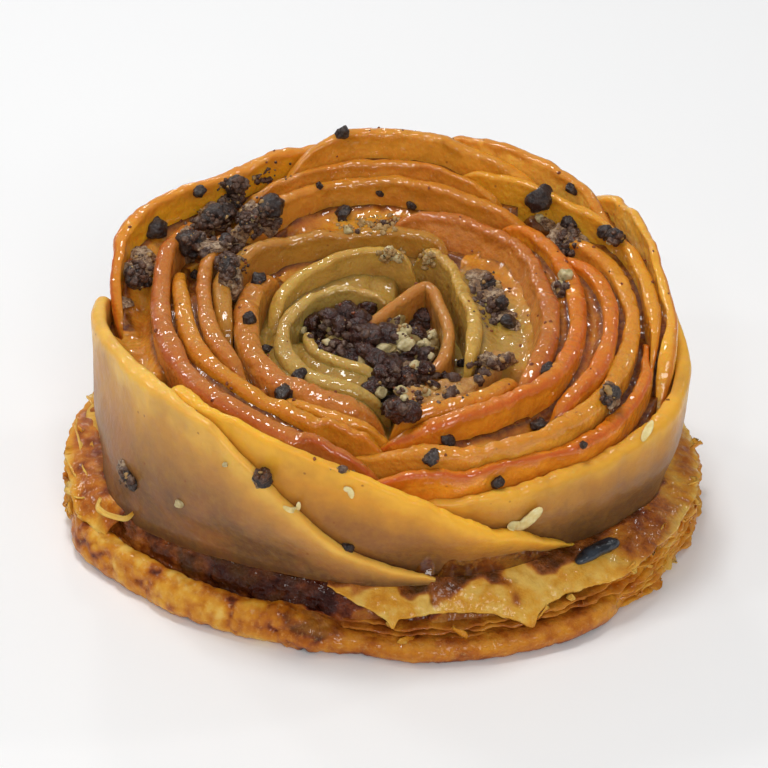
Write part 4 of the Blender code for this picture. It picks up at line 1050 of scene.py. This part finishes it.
# Patches of fine crumble: middle column and row, reach across and down, how many, and share of pale bits.
CRUMBLE = ((240, 212, 30, 22, 110, 0.15), (232, 262, 16, 26, 80, 0.15), (200, 232, 16, 24, 60, 0.1),
           (142, 270, 12, 20, 44, 0.15), (260, 222, 22, 16, 60, 0.3), (372, 224, 36, 10, 90, 0.95),
           (232, 186, 18, 7, 30, 0.1), (262, 178, 14, 7, 24, 0.1), (568, 238, 14, 16, 50, 0.3),
           (612, 236, 10, 8, 16, 0.2), (562, 288, 8, 8, 20, 0.3), (490, 300, 20, 28, 60, 0.1),
           (488, 364, 24, 8, 24, 0.2), (408, 380, 32, 16, 70, 0.1), (390, 254, 14, 8, 40, 0.95),
           (428, 258, 8, 12, 30, 0.95), (126, 478, 7, 10, 18, 0.2), (262, 476, 7, 8, 14, 0.1),
           (340, 470, 16, 4, 8, 0.9), (610, 396, 8, 9, 16, 0.3), (340, 334, 30, 20, 40, 0.06),
           (430, 392, 40, 12, 20, 0.3), (400, 409, 14, 6, 20, 0.1), (275, 170, 20, 12, 10, 0.2),
           (398, 330, 20, 14, 20, 0.2))

PERCH = 0.12  # how far a crumb's middle stands above what carries it, as a share of its size


def make_crumbs():
    """Crumbs and cream bits on the bands, each sunk by over a third of its size into what carries it.

    The masses come first, flattened against the surface; the crumbs, the bits and the crumble then lie on
    them.
    """
    masses = np.array(CRUMB_MASSES)
    places, normals, on_tart = seen(masses[:, :2])
    frosted = toasted_crumb("crumbs_baked_together", "#4E3424", "#A47E58", 0.95, 0.5, "#C4AC8E")
    parts = []
    for number, (place, normal, mass) in enumerate(zip(places, normals, masses[on_tart])):
        parts.append(lumps([place], [mass[2]], 540 + number, 5, 0.25, mass[3], 0.16, [normal]) + ({},))
    points, faces, _ = joined(parts)
    settle(mesh_object("crumb_masses", points, faces, frosted), "crumb")
    bpy.context.view_layer.update()
    dark, brown = settings().crumb_dark, settings().crumb_brown
    kinds = (("dark_crumbs", DARK_CRUMBS, 0.10, "crumb",
              toasted_crumb("toasted_crumb_dark", dark, brown, 0.25, 0.4, "#7C7468")),
             ("heart_chunks", HEART_CHUNKS, 0.12, "crumb",
              toasted_crumb("wet_crumb_heart", "#0E0503", "#4A2016", 0.2, 0.2, "#8A6C58")),
             ("cream_bits", CREAM_BITS, 0.0, "filling", pale_cream("#9C8A5A", "#CABA8C", "#E8DCB8")))
    for name, table, grit, slot, finish in kinds:
        rows = np.array(table)
        places, normals, on_tart = seen(rows[:, :2])
        sizes = rows[on_tart, 2]
        places = places + normals * sizes[:, None] * PERCH
        points, faces = lumps(places, sizes, 501, 4, 0.15, 0.85, grit)
        settle(mesh_object(name, points, faces, finish), slot)
    rng = np.random.default_rng(81)
    spots, pale = [], []
    for column, row, across, down, most, share in CRUMBLE:
        count = int(most * settings().crumb_share)
        turn, far = rng.uniform(0, 2 * math.pi, count), rng.uniform(0, 1, count) ** 0.7
        spots += list(zip(column + across * far * np.cos(turn), row + down * far * np.sin(turn)))
        pale += list(rng.uniform(0, 1, count) < share)
    places, _, on_tart = seen(spots)
    pale = np.array(pale)[on_tart]
    sizes = np.where(pale, 0.7, 1.0) * (0.35 + 1.2 * rng.uniform(0, 1, len(places)) ** 2.5)
    kinds = (("crumble_dark", ~pale, "crumb", toasted_crumb("crumble_brown", "#2A1712", "#6A4632", 0.5, 0.5)),
             ("crumble_pale", pale, "filling", pale_cream("#8A6838", "#B08C58", "#D2BC8C")))
    for name, chosen, slot, finish in kinds:
        points, faces = lumps(places[chosen], sizes[chosen], 90, levels=2, pits=0.3)
        settle(mesh_object(name, points, faces, finish), slot)


# Pale slivers of apple on the outer walls: width in millimetres, then columns and rows along each.
SLIVERS = ((2.0, ((508, 530), (519, 525), (530, 516), (538, 504))),
           (1.1, ((641, 441), (646, 433), (652, 424))),
           (0.8, ((283, 506), (290, 510), (298, 507), (301, 498))),
           (0.9, ((344, 487), (350, 489), (354, 494))))


def make_slivers():
    """Thin pale strips on the walls, along places that the camera sees: flat against the wall, one end
    lifted."""
    parts = []
    columns = np.linspace(-1, 1, 7)
    for number, (width, spots) in enumerate(SLIVERS):
        places, normals, _ = seen(spots)
        at = np.linspace(0, len(places) - 1, 24)
        line, facing = curve(places, at), curve(normals, at)
        along = np.gradient(line, axis=0)
        across = np.cross(facing, along)
        across /= np.linalg.norm(across, axis=1)[:, None]
        share = np.linspace(0, 1, len(at))
        taper = np.sqrt(np.clip(1 - (2 * share - 1) ** 4, 0.06, 1))
        half = width / 2 * taper * (1 + 0.2 * noise(line, 1.0, number))
        lift = 0.25 + 0.7 * share ** 3
        sheet = line[:, None] + across[:, None] * (half[:, None] * columns)[..., None]
        sheet = sheet + facing[:, None] * (lift[:, None] + 0.12 * rough(sheet, 0.8, number))[..., None]
        grid = np.concatenate([sheet + 0.12 * facing[:, None], (sheet - 0.12 * facing[:, None])[:, ::-1]], 1)
        parts.append((*tube(grid), {}))
    points, faces, _ = joined(parts)
    made = mesh_object("pale_slivers", points, faces, pale_cream("#E0C47C", "#EEDCA0", "#F4E8BC"))
    face_outwards(made)
    settle(made, "apple_pale")


# Specks of spice: how many, the largest radius at which they lie, and the lowest height in metres.
SPECKS = 130
SPECK_REACH = 46
SPECK_LOWEST = 0.028


def make_specks():
    """Fine reddish-brown specks stuck to the glaze, dropped from above at random over the rose."""
    rng = np.random.default_rng(77)
    graph = bpy.context.evaluated_depsgraph_get()
    spots, sizes = [], []
    while len(spots) < SPECKS:
        angle = rng.uniform(0, 2 * math.pi)
        radius = SPECK_REACH * math.sqrt(rng.uniform(0, 1))
        x, y = ROSE_AXIS[0] + radius * math.cos(angle), ROSE_AXIS[1] + radius * math.sin(angle)
        start = Vector((x, y, 60)) * MM
        hit, place, *_ = bpy.context.scene.ray_cast(graph, start, Vector((0, 0, -1)))
        if hit and place.z > SPECK_LOWEST:
            spots.append(place / MM)
            sizes.append(rng.uniform(0.25, 0.6))
    points, faces = lumps(np.array([s[:] for s in spots]), np.array(sizes), 78, levels=2)
    finish = toasted_crumb("spice_speck", "#5A2410", "#A0562C", 0.0, 0.5)
    settle(mesh_object("spice_specks", points, faces, finish), "crumb")


def make_heart():
    """The heap in the heart: a bumpy core over its outline, and crumbs and cream piled on it at random."""
    rng = np.random.default_rng(5)
    degrees = np.arange(0, 360, 3.0)
    shares = np.concatenate([[1.0, 1.0], np.linspace(0.97, 0.04, 16)])
    heights = np.concatenate([[PASTRY_TOP - 0.2, HEART_TOP - 1.0], np.full(16, HEART_TOP)])
    edge = through(HEART, degrees, 360)
    grid = polar(edge[:, None] * shares, degrees[:, None], heights[None, :] + 0 * edge[:, None])
    grid[:, 2:, 2] += 0.7 * rough(grid[:, 2:], 2.6, 61)
    finish = crumbly_filling("heart_filling", "#4A3018", "#7A5C30", "#94783E", "#B49C62")
    core = mesh_object("heart_core", grid.reshape(-1, 3), grid_faces(*grid.shape[:2], wrap_rows=True), finish)
    fill_holes(core)
    face_outwards(core)
    settle(core, "crumb", "crumb_heap")
    # how many, least and greatest size, seed, flatness and height over the heap
    kinds = (("heart_cream", 34, 2.6, 5.0, 512, 0.5, 0.4, "filling",
              pale_cream("#6E5630", "#98804C", "#BCA878")),
             ("heart_dark_crumbs", 16, 2.2, 3.6, 511, 0.85, 0.9, "crumb",
              toasted_crumb("toasted_crumb_heart", "#120604", "#48201A", 0.2, 0.3)),
             ("heart_cream_bits", 8, 0.7, 1.4, 513, 0.8, 1.8, "filling",
              pale_cream("#A8946A", "#CCBE94", "#E8DEC0")))
    for name, count, low, high, seed, flat, lift, slot, finish in kinds:
        angle = rng.uniform(0, 360, count)
        share = np.sqrt(rng.uniform(0, 1, count))
        sizes = rng.uniform(low, high, count)
        radius = share * (through(HEART, angle, 360) - sizes * 0.35)
        back_left = np.exp(-((angle - 135) / 35) ** 2) * share
        level = HEART_TOP + lift + rng.uniform(0, 1.8, count) * (1 - 0.5 * share) + 1.8 * back_left
        points, faces = lumps(polar(radius, angle, level), sizes, seed, 4, 0.22, flat, 0.12)
        settle(mesh_object(name, points, faces, finish), slot)


def make_beds():
    """The two beds of crumbs and cream between the bands: sheets over radius and angle with sides, and crumbs
    on top."""
    rng = np.random.default_rng(9)
    for name, node, stations, seed in (("front_cream_bed", "cream_bed_front", FRONT_BED, 71),
                                       ("right_crumb_bed", "crumb_bed_right", RIGHT_BED, 72)):
        degrees = np.arange(stations[0][0], stations[-1][0] + 0.01, 0.75)
        inner, outer, top = (profile(stations, k, degrees) for k in (1, 2, 3))
        shares = np.linspace(0, 1, 22)
        radius = inner[:, None] + (outer - inner)[:, None] * shares
        slump = 1.6 * (1 - np.minimum(1, np.minimum(shares, 1 - shares) * 5)) ** 2
        height = top[:, None] - slump[None, :]
        surface = polar(radius, degrees[:, None], height)
        surface[..., 2] += 0.55 * rough(surface, 2.2, seed)
        left = polar(inner, degrees, PASTRY_TOP)[:, None]
        right = polar(outer, degrees, PASTRY_TOP)[:, None]
        grid = np.concatenate([left, surface, right, (left + right) / 2], axis=1)
        if grid.shape[1] % 2:
            grid = np.concatenate([grid, left], axis=1)
        points, faces = tube(grid)
        finish = (crumbly_filling("crumbs_in_cream", "#8A5026", "#B07A3C", "#C08C48", "#D0A664")
                  if name == "front_cream_bed" else
                  crumbly_filling("frosted_crumb_bed", "#5C3A28", "#8A6248", "#A88064", "#BC9A7C"))
        made = mesh_object(name, points, faces, finish)
        face_outwards(made)
        settle(made, frame_slot(node), node)
        count = 16
        spots = rng.uniform(0.08, 0.92, (count, 2))
        sizes = rng.uniform(0.8, 2.2, count)
        at = degrees[0] + spots[:, 0] * (degrees[-1] - degrees[0])
        low, high, level = (np.interp(at, degrees, values) for values in (inner, outer, top))
        places = polar(low + spots[:, 1] * (high - low), at, level + 0.1)
        points, faces = lumps(places, sizes, seed + 10)
        settle(mesh_object(name + "_crumbs", points, faces,
                           toasted_crumb(name + "_crumb", "#2A1814", "#6A4A3A", 0.45, 0.6)), "crumb")


# ---------------------------------------------------------------- pastry

def foot_radius(degrees):
    """How far out the rose's outermost band stands at each angle, at its foot, smoothed over the tips'
    ends."""
    turn = np.arange(0, 360, 1.0)
    reach = outermost_radius(turn, packed_bands()[:6])
    reach = np.mean([np.roll(reach, shift) for shift in range(-4, 5)], axis=0)
    reach = reach + BAND_THICKNESS / 2 + lean(PASTRY_TOP)
    spread_out = profile(WALL_FOOT, 1, turn) - 0.8
    reach = np.where((turn > WALL_FOOT[0][0]) & (turn < WALL_FOOT[-1][0]), spread_out, reach)
    return np.interp(np.mod(degrees, 360), turn, reach, period=360)


def pastry_rim(degrees):
    """Outline, width of the rim from there to the rose's foot, and height of the edge at each angle."""
    edge = through(PASTRY_OUTLINE, degrees, 360)
    return edge, np.clip(edge - foot_radius(degrees), 3.0, 9.0), through(PASTRY_EDGE, degrees, 360)


def wetness(points, degrees, radius):
    """How much syrup has soaked in, 0 to 1: a dark collar at the rose's foot with tongues that run
    outwards."""
    out = radius - foot_radius(degrees)
    tongues = 1.6 + 2.2 * noise(points * np.array([1, 1, 0]), 5.0, 290) + 1.0 * noise(points, 1.8, 291)
    dark = eased((tongues - out) / 1.6) * (0.75 + 0.25 * noise(points, 2.5, 293))
    pool = eased(1.4 - np.hypot((degrees - 333) / 12, (radius - 44.5) / 4.0) + 0.25 * noise(points, 3.0, 292))
    patch = eased(1.3 - np.hypot((degrees - 297) / 17, (radius - 35.3) / 1.9) + 0.5 * noise(points, 3.0, 294))
    return np.clip(np.maximum(np.maximum(dark, 0.42 * pool), patch), 0, 1)


def make_pastry():
    """The puff pastry disc, a function of the angle and of the way round its section.

    The section is a blend, by shares that change with the angle, of three sections: puffed, split and
    crumbled. It is then pushed along its normals by packed blisters and by noise.
    """
    degrees = np.arange(0, 360, 0.5)
    edge, width, top = pastry_rim(degrees)
    ring = polar(30.0, degrees, 0.0)
    fine = np.linspace(0, len(PUFFED) - 1, 84)
    puffed, split = through(PUFFED_SHARE, degrees, 360), through(SPLIT_SHARE, degrees, 360)
    shares = (puffed, split, 1 - puffed - split)
    inset = np.zeros((len(degrees), len(fine)))
    level = np.zeros_like(inset)
    for share, section in zip(shares, (PUFFED, SPLIT, CRUMBLED)):
        way_in, way_up = curve(section, fine).T
        inset += share[:, None] * way_in
        level += share[:, None] * way_up
    wobble = (0.35 * rough(ring, 5.0, 31))[:, None]
    radius = edge[:, None] - width[:, None] * inset + wobble
    above = top[:, None] + (level - 1) * (PASTRY_TOP - top)[:, None]
    height = np.where(level < 1, level * top[:, None], above)
    grid = polar(radius, degrees[:, None], height)
    arc = np.broadcast_to((np.radians(degrees) * 42.0)[:, None], radius.shape)
    streaks = rough(np.stack([arc / 4, radius * 1.3, height * 0.8], -1), 1.4, 269)
    open_air = eased(fine / 2.5) * eased((len(PUFFED) - 1.2 - fine) / 1.5)
    foam = blisters(grid, 3.2, 260) * 0.6 + blisters(grid, 1.4, 261) * 0.4 + 0.18 * rough(grid, 0.9, 267)
    crumbly = 0.9 * rough(grid, 2.4, 262) + 0.5 * blisters(grid, 1.3, 263)
    in_trench = eased((fine - 8.2) / 1.5)[None, :]
    puffy = foam * (1 - in_trench) + (0.8 * streaks + 0.5 * blisters(grid, 1.8, 270)) * in_trench
    relief = puffed[:, None] * puffy + shares[2][:, None] * crumbly + split[:, None] * (0.5 * foam + 0.15)
    grid = grid + (relief * open_air)[..., None] * normals_of(grid, wrap_rows=True)
    grid[..., 2] = np.maximum(grid[..., 2], 0.0)
    creases = 1 - 0.6 * blisters(grid, 3.2, 260) - 0.4 * blisters(grid, 1.4, 261)
    brown = 0.22 + 0.80 * creases + 0.40 * rough(grid, 6.0, 264) + 0.22 * rough(grid, 2.0, 268)
    under = eased((0.25 - level) / 0.2)
    split_brown = 0.50 + 0.22 * rough(grid, 2.5, 265) + 0.5 * eased(level * 5 - 2.2)
    bake = (puffed[:, None] * brown + split[:, None] * split_brown
            + shares[2][:, None] * (0.36 + 0.38 * rough(grid, 2.2, 266) - 0.15 * crumbly) + 0.35 * under)
    left_top = shares[2] * np.exp(-((np.mod(degrees, 360) - 188) / 22) ** 2)
    bake = bake + 0.50 * left_top[:, None] * eased(level - 0.9)
    syrup = np.where(fine > 7.5, wetness(grid, np.broadcast_to(degrees[:, None], radius.shape), radius), 0)
    syrup = np.maximum(syrup, puffed[:, None] * eased((fine - 8.4) / 1.6)[None, :]
                       * (0.62 + 0.38 * eased((degrees - 205) / 30)[:, None] + 0.35 * streaks))
    syrup = np.maximum(syrup, 0.28 * split[:, None] * eased((fine - 4) / 1.5)[None, :])
    made = mesh_object("puff_pastry", grid.reshape(-1, 3), grid_faces(*grid.shape[:2], wrap_rows=True),
                       baked_pastry(), {"bake": bake, "syrup": syrup})
    fill_holes(made)
    face_outwards(made)
    settle(made, "pastry", "pastry_base")


def thin_sheet(degrees, inner, outer, inner_height, outer_height, seed, wave, columns=8, closed=True):
    """A thin leaf over angle and share of the way out: its height eases from one edge to the other, plus
    waves."""
    shares = np.linspace(0, 1, columns)
    radius = inner[:, None] + (outer - inner)[:, None] * shares
    height = inner_height[:, None] + (outer_height - inner_height)[:, None] * shares ** 1.5
    middle = polar(radius, degrees[:, None], height)
    middle[..., 2] += wave * rough(middle, 4.5, seed) * (0.4 + shares) + 0.12 * rough(middle, 1.2, seed + 1)
    half = LEAF_THICKNESS / 2 * (1 - 0.55 * shares ** 3)
    above, below = middle.copy(), middle.copy()
    above[..., 2] += half
    below[..., 2] -= half
    grid = np.concatenate([above, below[:, ::-1]], axis=1)
    out = np.concatenate([shares, shares[::-1]])[None, :] + 0 * grid[..., 0]
    faces = grid_faces(*grid.shape[:2], wrap_rows=closed, wrap_columns=True)
    if not closed:
        faces = tube(grid)[1]
    return grid, faces, out


def make_layers():
    """Thin leaves of the puff pastry that stick out of its edge, one above the other, each with its own torn
    outline."""
    degrees = np.arange(0, 360, 0.6)
    edge, width, top = pastry_rim(degrees)
    ring = polar(40.0, degrees, 0.0)
    puffed, split = through(PUFFED_SHARE, degrees, 360), through(SPLIT_SHARE, degrees, 360)
    parts = []
    for layer in range(PASTRY_LAYERS):
        share = 0.14 + 0.82 * layer / (PASTRY_LAYERS - 1)
        torn = 0.75 * rough(ring, 3.2, 400 + layer) + 0.4 * rough(ring, 1.0, 420 + layer)
        drawn_in = 0.5 + 1.3 * np.abs(noise(ring, 9.0, 440 + layer))
        in_gap = 0.0 if 0.5 < share < 0.85 else 2.5
        outer = edge - drawn_in + torn - 4.0 * puffed - split * (1.1 + in_gap)
        inner = edge - width * 0.75 - 1.0
        level = top * share * (1 + 0.06 * noise(ring, 12.0, 460 + layer))
        outer_level = level + 0.5 * rough(ring, 2.6, 480 + layer)
        grid, faces, out = thin_sheet(degrees, inner, outer, level, outer_level, 500 + layer, 0.35)
        bake = (0.35 + 0.25 * rough(grid, 3.0, 520) - 0.25 * (out - 0.7) + 0.35 * split[:, None]
                + 0.25 * (1 - out))
        parts.append((grid, faces, {"bake": bake, "syrup": 0.25 * split[:, None] + 0 * bake}))
    points, faces, values = joined(parts)
    made = mesh_object("pastry_layers", points, faces, baked_pastry(), values)
    face_outwards(made)
    settle(made, "pastry")


def make_top_flake():
    """The pale top leaf: it starts under the rose, sinks towards the edge and overhangs the split with two
    torn tips."""
    degrees = np.arange(257, 360 + 203, 0.35)
    edge, _, top = pastry_rim(degrees)
    ring = polar(40.0, degrees, 0.0)
    torn = 0.5 * rough(ring, 3.0, 600) + 0.28 * rough(ring, 1.0, 601)
    front = degrees < PALE_FLAKE[-1][0]
    reach, sunk = (profile(PALE_FLAKE, k, np.minimum(degrees, PALE_FLAKE[-1][0])) for k in (1, 2))
    outer = np.where(front, reach, edge - 1.1 + 0.8 * rough(ring, 6.0, 602))
    outer = outer + torn * np.where(degrees < 304, 0.45, 1.0)
    low = np.where(front, sunk, top + 0.1)
    inner = foot_radius(degrees) - 2.0
    start = 0 * degrees + PASTRY_TOP + 0.25
    grid, faces, out = thin_sheet(degrees, inner, outer, start, low, 610, 0.3, 26, False)
    grid[..., 2] += 0.35 * blisters(grid, 2.2, 611) + 0.2 * rough(grid, 1.6, 612)
    turn = np.broadcast_to(degrees[:, None], grid.shape[:2])
    radius = np.hypot(grid[..., 0] - ROSE_AXIS[0], grid[..., 1] - ROSE_AXIS[1])
    side = eased((degrees - 318) / 14)[:, None]
    left = np.exp(-((degrees - 548) / 24) ** 2)[:, None]
    bake = (0.16 + 0.18 * rough(grid, 3.0, 613) + 0.22 * side + 0.12 * left + 0.36 * rough(grid, 4.0,
                                                                                           614) * side
            - 0.35 * side * eased((out - 0.8) / 0.2))
    syrup = wetness(grid, np.mod(turn, 360), radius)
    made = mesh_object("pastry_top_flake", grid.reshape(-1, 3), faces, baked_pastry(),
                       {"bake": bake, "syrup": syrup})
    face_outwards(made)
    settle(made, "pastry")


def ribbon(path, width, thickness, twist, seed, rows=26, columns=5):
    """A thin strip along a smooth path: its middle line, moved sideways by share of the width and curled by
    twist."""
    spots = np.linspace(0, len(path) - 1, rows)
    line = curve(path, spots)
    along = np.gradient(line, axis=0)
    along /= np.linalg.norm(along, axis=1)[:, None]
    side = np.cross(along, (0, 0, 1))
    side /= np.maximum(np.linalg.norm(side, axis=1)[:, None], 1e-6)
    up = np.cross(side, along)
    turn = twist * np.sin(np.linspace(0.4, 2.6, rows) + seed)[:, None]
    across = side * np.cos(turn) + up * np.sin(turn)
    over = np.cross(across, along)
    shares = np.linspace(-1, 1, columns)
    taper = np.sqrt(np.clip(1 - np.linspace(-1, 1, rows) ** 4, 0.02, 1)) * (1 + 0.25 * noise(line, 1.2, seed))
    middle = line[:, None] + across[:, None] * (width / 2 * taper)[:, None, None] * shares[None, :, None]
    middle = middle + over[:, None] * (0.25 * width * shares ** 2)[None, :, None]
    middle = middle + 0.18 * rough(middle, 1.0, seed + 3)[..., None] * over[:, None]
    half = over[:, None] * thickness / 2
    grid = np.concatenate([middle + half, (middle - half)[:, ::-1]], 1)
    return grid, tube(grid)[1]


def make_flakes():
    """Ribbons of flake that came loose, and many small ones round the crumbled edge."""
    rng = np.random.default_rng(23)
    parts = []
    for number, (width, path) in enumerate(RIBBONS):
        places = polar(*(np.array([p[k] for p in path]) for k in (1, 0, 2)))
        grid, faces = ribbon(places, 0.75 * width, 0.22, 1.0, 7 * number + 1)
        parts.append((grid, faces, {"bake": 0.04 + 0.16 * rough(grid, 1.5, 700), "syrup": 0 * grid[..., 0]}))
    degrees = np.concatenate([rng.uniform(-38, 25, 90), rng.uniform(150, 198, 60), rng.uniform(25, 150, 70),
                              rng.uniform(262, 318, 10)])
    edge, width, top = pastry_rim(degrees)
    for turn, reach, high in zip(degrees, edge, top):
        level = high * rng.uniform(0.15, 1.05)
        start = reach - rng.uniform(1.2, 3.2)
        swing = rng.uniform(-2.2, 2.2)
        length = rng.uniform(0.5, 1.3)
        path = polar(start + np.array([-0.6, 0.3, 0.9]) * length, turn + swing * np.array([-1, 0, 0.8]),
                     level + rng.uniform(-0.7, 0.7) * np.array([-1, 0.3, 1]))
        grid, faces = ribbon(path, rng.uniform(0.8, 2.2), 0.25, 1.0, rng.integers(1000), rows=7, columns=4)
        dry = 0 * grid[..., 0]
        parts.append((grid, faces, {"bake": rng.uniform(0.0, 0.55) + dry, "syrup": dry}))
    points, faces, values = joined(parts)
    made = mesh_object("pastry_flakes", points, faces, baked_pastry(), values)
    face_outwards(made)
    settle(made, "pastry")


def make_fruit():
    """The dark dried fruit: rings along a slightly bent, tapered rod, dented by noise."""
    start, end = (np.array(p) for p in FRUIT_ENDS)
    share = np.linspace(0, 1, 40)
    along = (end - start) / np.linalg.norm(end - start)
    side = np.cross(along, (0, 0, 1))
    up = np.cross(side, along)
    taper = np.sqrt(np.clip(1 - np.abs(2 * share - 1) ** 3.2, 0, 1))
    width = FRUIT_RADIUS * taper * (0.86 + 0.14 * share) + 0.05
    turn = np.linspace(0, 2 * math.pi, 24, endpoint=False)
    middle = start + (end - start) * share[:, None] + up * (0.4 * np.sin(share * math.pi))[:, None]
    ring = side * np.cos(turn)[:, None] + up * 0.85 * np.sin(turn)[:, None]
    grid = middle[:, None] + width[:, None, None] * ring
    grid += 0.18 * rough(grid, 1.3, 300)[..., None] * (grid - middle[:, None]) / FRUIT_RADIUS
    points, faces = tube(grid)
    made = mesh_object("dried_berry", points, faces, dried_fruit_skin())
    face_outwards(made)
    settle(made, "fruit", "dried_fruit")


# ---------------------------------------------------------------- stage

def make_stage():
    """The camera, a pale floor, soft lamps with small bright ones for the glints, and the light of the
    room."""
    eye, forward, *_ = camera_geometry()
    lens = bpy.data.cameras.new("camera")
    lens.lens = LENS
    lens.sensor_width = SENSOR
    lens.clip_start, lens.clip_end = 0.01, 20
    camera = bpy.data.objects.new("camera", lens)
    camera.location = eye
    camera.rotation_mode = "QUATERNION"
    camera.rotation_quaternion = forward.to_track_quat("-Z", "Y")
    bpy.context.scene.collection.objects.link(camera)
    bpy.context.scene.camera = camera
    corners = np.array([(-1, -1, 0), (1, -1, 0), (1, 1, 0), (-1, 1, 0)]) * FLOOR_REACH / MM
    floor = mesh_object("floor", corners, [(0, 1, 2, 3)], studio_floor(), smooth=False)
    for name, place, size, watts in LAMPS:
        data = bpy.data.lights.new(name, "AREA")
        data.shape = "DISK"
        data.size = size
        data.energy = watts
        lamp = bpy.data.objects.new(name, data)
        lamp.location = place
        lamp.rotation_mode = "QUATERNION"
        lamp.rotation_quaternion = (Vector(LAMP_AIM) - Vector(place)).to_track_quat("-Z", "Y")
        bpy.context.scene.collection.objects.link(lamp)
    world = bpy.data.worlds.new("studio")
    world.use_nodes = True
    room = world.node_tree.nodes["Background"].inputs
    room["Color"].default_value, room["Strength"].default_value = ROOM_COLOUR, ROOM_STRENGTH
    bpy.context.scene.world = world
    bpy.context.scene.view_settings.view_transform = "Standard"


# ---------------------------------------------------------------- the add-on

class TartSettings(bpy.types.PropertyGroup):
    """Sizes and colours that a user would change."""
    glaze: bpy.props.FloatProperty(
        name="Glaze", description="How much clear glaze coats the apple", default=0.9, min=0, max=1,
        subtype="FACTOR")
    thickness: bpy.props.FloatProperty(
        name="Band thickness", description="Thickness of a plain apple band", default=BAND_THICKNESS * MM,
        min=0.001, max=0.004, unit="LENGTH")
    crumb_share: bpy.props.FloatProperty(
        name="Crumble", description="How much of the fine crumble is strewn", default=1.0, min=0, max=1,
        subtype="FACTOR")
    crumb_dark: bpy.props.FloatVectorProperty(
        name="Dark crumbs", description="Colour of the darkest crumbs", default=srgb("#120C0C"), size=4,
        min=0, max=1,
        subtype="COLOR")
    crumb_brown: bpy.props.FloatVectorProperty(
        name="Brown crumbs", description="Colour of the crumbs' broken faces", default=srgb("#3A2620"),
        size=4,
        min=0, max=1, subtype="COLOR")
    butter: bpy.props.FloatVectorProperty(
        name="Pale pastry", description="Colour of the palest flakes of the pastry", default=srgb("#E8BA58"),
        size=4,
        min=0, max=1, subtype="COLOR")
    crust: bpy.props.FloatVectorProperty(
        name="Dark pastry", description="Colour of the pastry where it is browned most",
        default=srgb("#4A1A04"),
        size=4, min=0, max=1, subtype="COLOR")
    floor: bpy.props.FloatVectorProperty(
        name="Floor", description="Colour of the floor", default=srgb("#F7F7F7"), size=4, min=0, max=1,
        subtype="COLOR")


class TART_OT_stage(bpy.types.Operator):
    """Adds the floor, the lights and the camera"""
    bl_idname = "tart.stage"
    bl_label = "Stage"

    def execute(self, context):
        make_stage()
        return {"FINISHED"}


class TART_OT_pastry(bpy.types.Operator):
    """Adds the puff pastry disc"""
    bl_idname = "tart.pastry"
    bl_label = "Pastry"

    def execute(self, context):
        make_pastry()
        make_layers()
        make_top_flake()
        make_flakes()
        return {"FINISHED"}


class TART_OT_bands(bpy.types.Operator):
    """Adds the apple bands and the syrup between them"""
    bl_idname = "tart.bands"
    bl_label = "Apple bands"

    def execute(self, context):
        make_bands()
        make_syrup()
        return {"FINISHED"}


class TART_OT_filling(bpy.types.Operator):
    """Adds the heap in the heart and the beds of crumbs and cream"""
    bl_idname = "tart.filling"
    bl_label = "Filling"

    def execute(self, context):
        make_heart()
        make_beds()
        return {"FINISHED"}


class TART_OT_crumbs(bpy.types.Operator):
    """Adds the crumbs, cream bits and specks on the bands, and the dried fruit"""
    bl_idname = "tart.crumbs"
    bl_label = "Crumbs"

    def execute(self, context):
        make_fruit()
        bpy.context.view_layer.update()
        make_slivers()
        make_crumbs()
        make_specks()
        return {"FINISHED"}


class TART_PT_panel(bpy.types.Panel):
    """Lists the operators in the 3D view's sidebar"""
    bl_label = "Apple rose tart"
    bl_idname = "TART_PT_panel"
    bl_space_type = "VIEW_3D"
    bl_region_type = "UI"
    bl_category = "Tart"

    def draw(self, context):
        for key in TartSettings.__annotations__:
            self.layout.prop(context.scene.tart, key)
        for operator in OPERATORS:
            self.layout.operator(operator.bl_idname)


OPERATORS = (TART_OT_stage, TART_OT_pastry, TART_OT_bands, TART_OT_filling, TART_OT_crumbs)
CLASSES = (TartSettings, *OPERATORS, TART_PT_panel)


def register():
    """Registers the classes and puts the settings on the scene."""
    for kind in CLASSES:
        bpy.utils.register_class(kind)
    bpy.types.Scene.tart = bpy.props.PointerProperty(type=TartSettings)


def unregister():
    """Takes the settings off the scene and unregisters the classes."""
    del bpy.types.Scene.tart
    for kind in reversed(CLASSES):
        bpy.utils.unregister_class(kind)


def main():
    """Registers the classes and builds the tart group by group."""
    register()
    bpy.ops.tart.stage()
    bpy.ops.tart.pastry()
    bpy.ops.tart.bands()
    bpy.ops.tart.filling()
    bpy.ops.tart.crumbs()


if __name__ == "__main__":
    main()
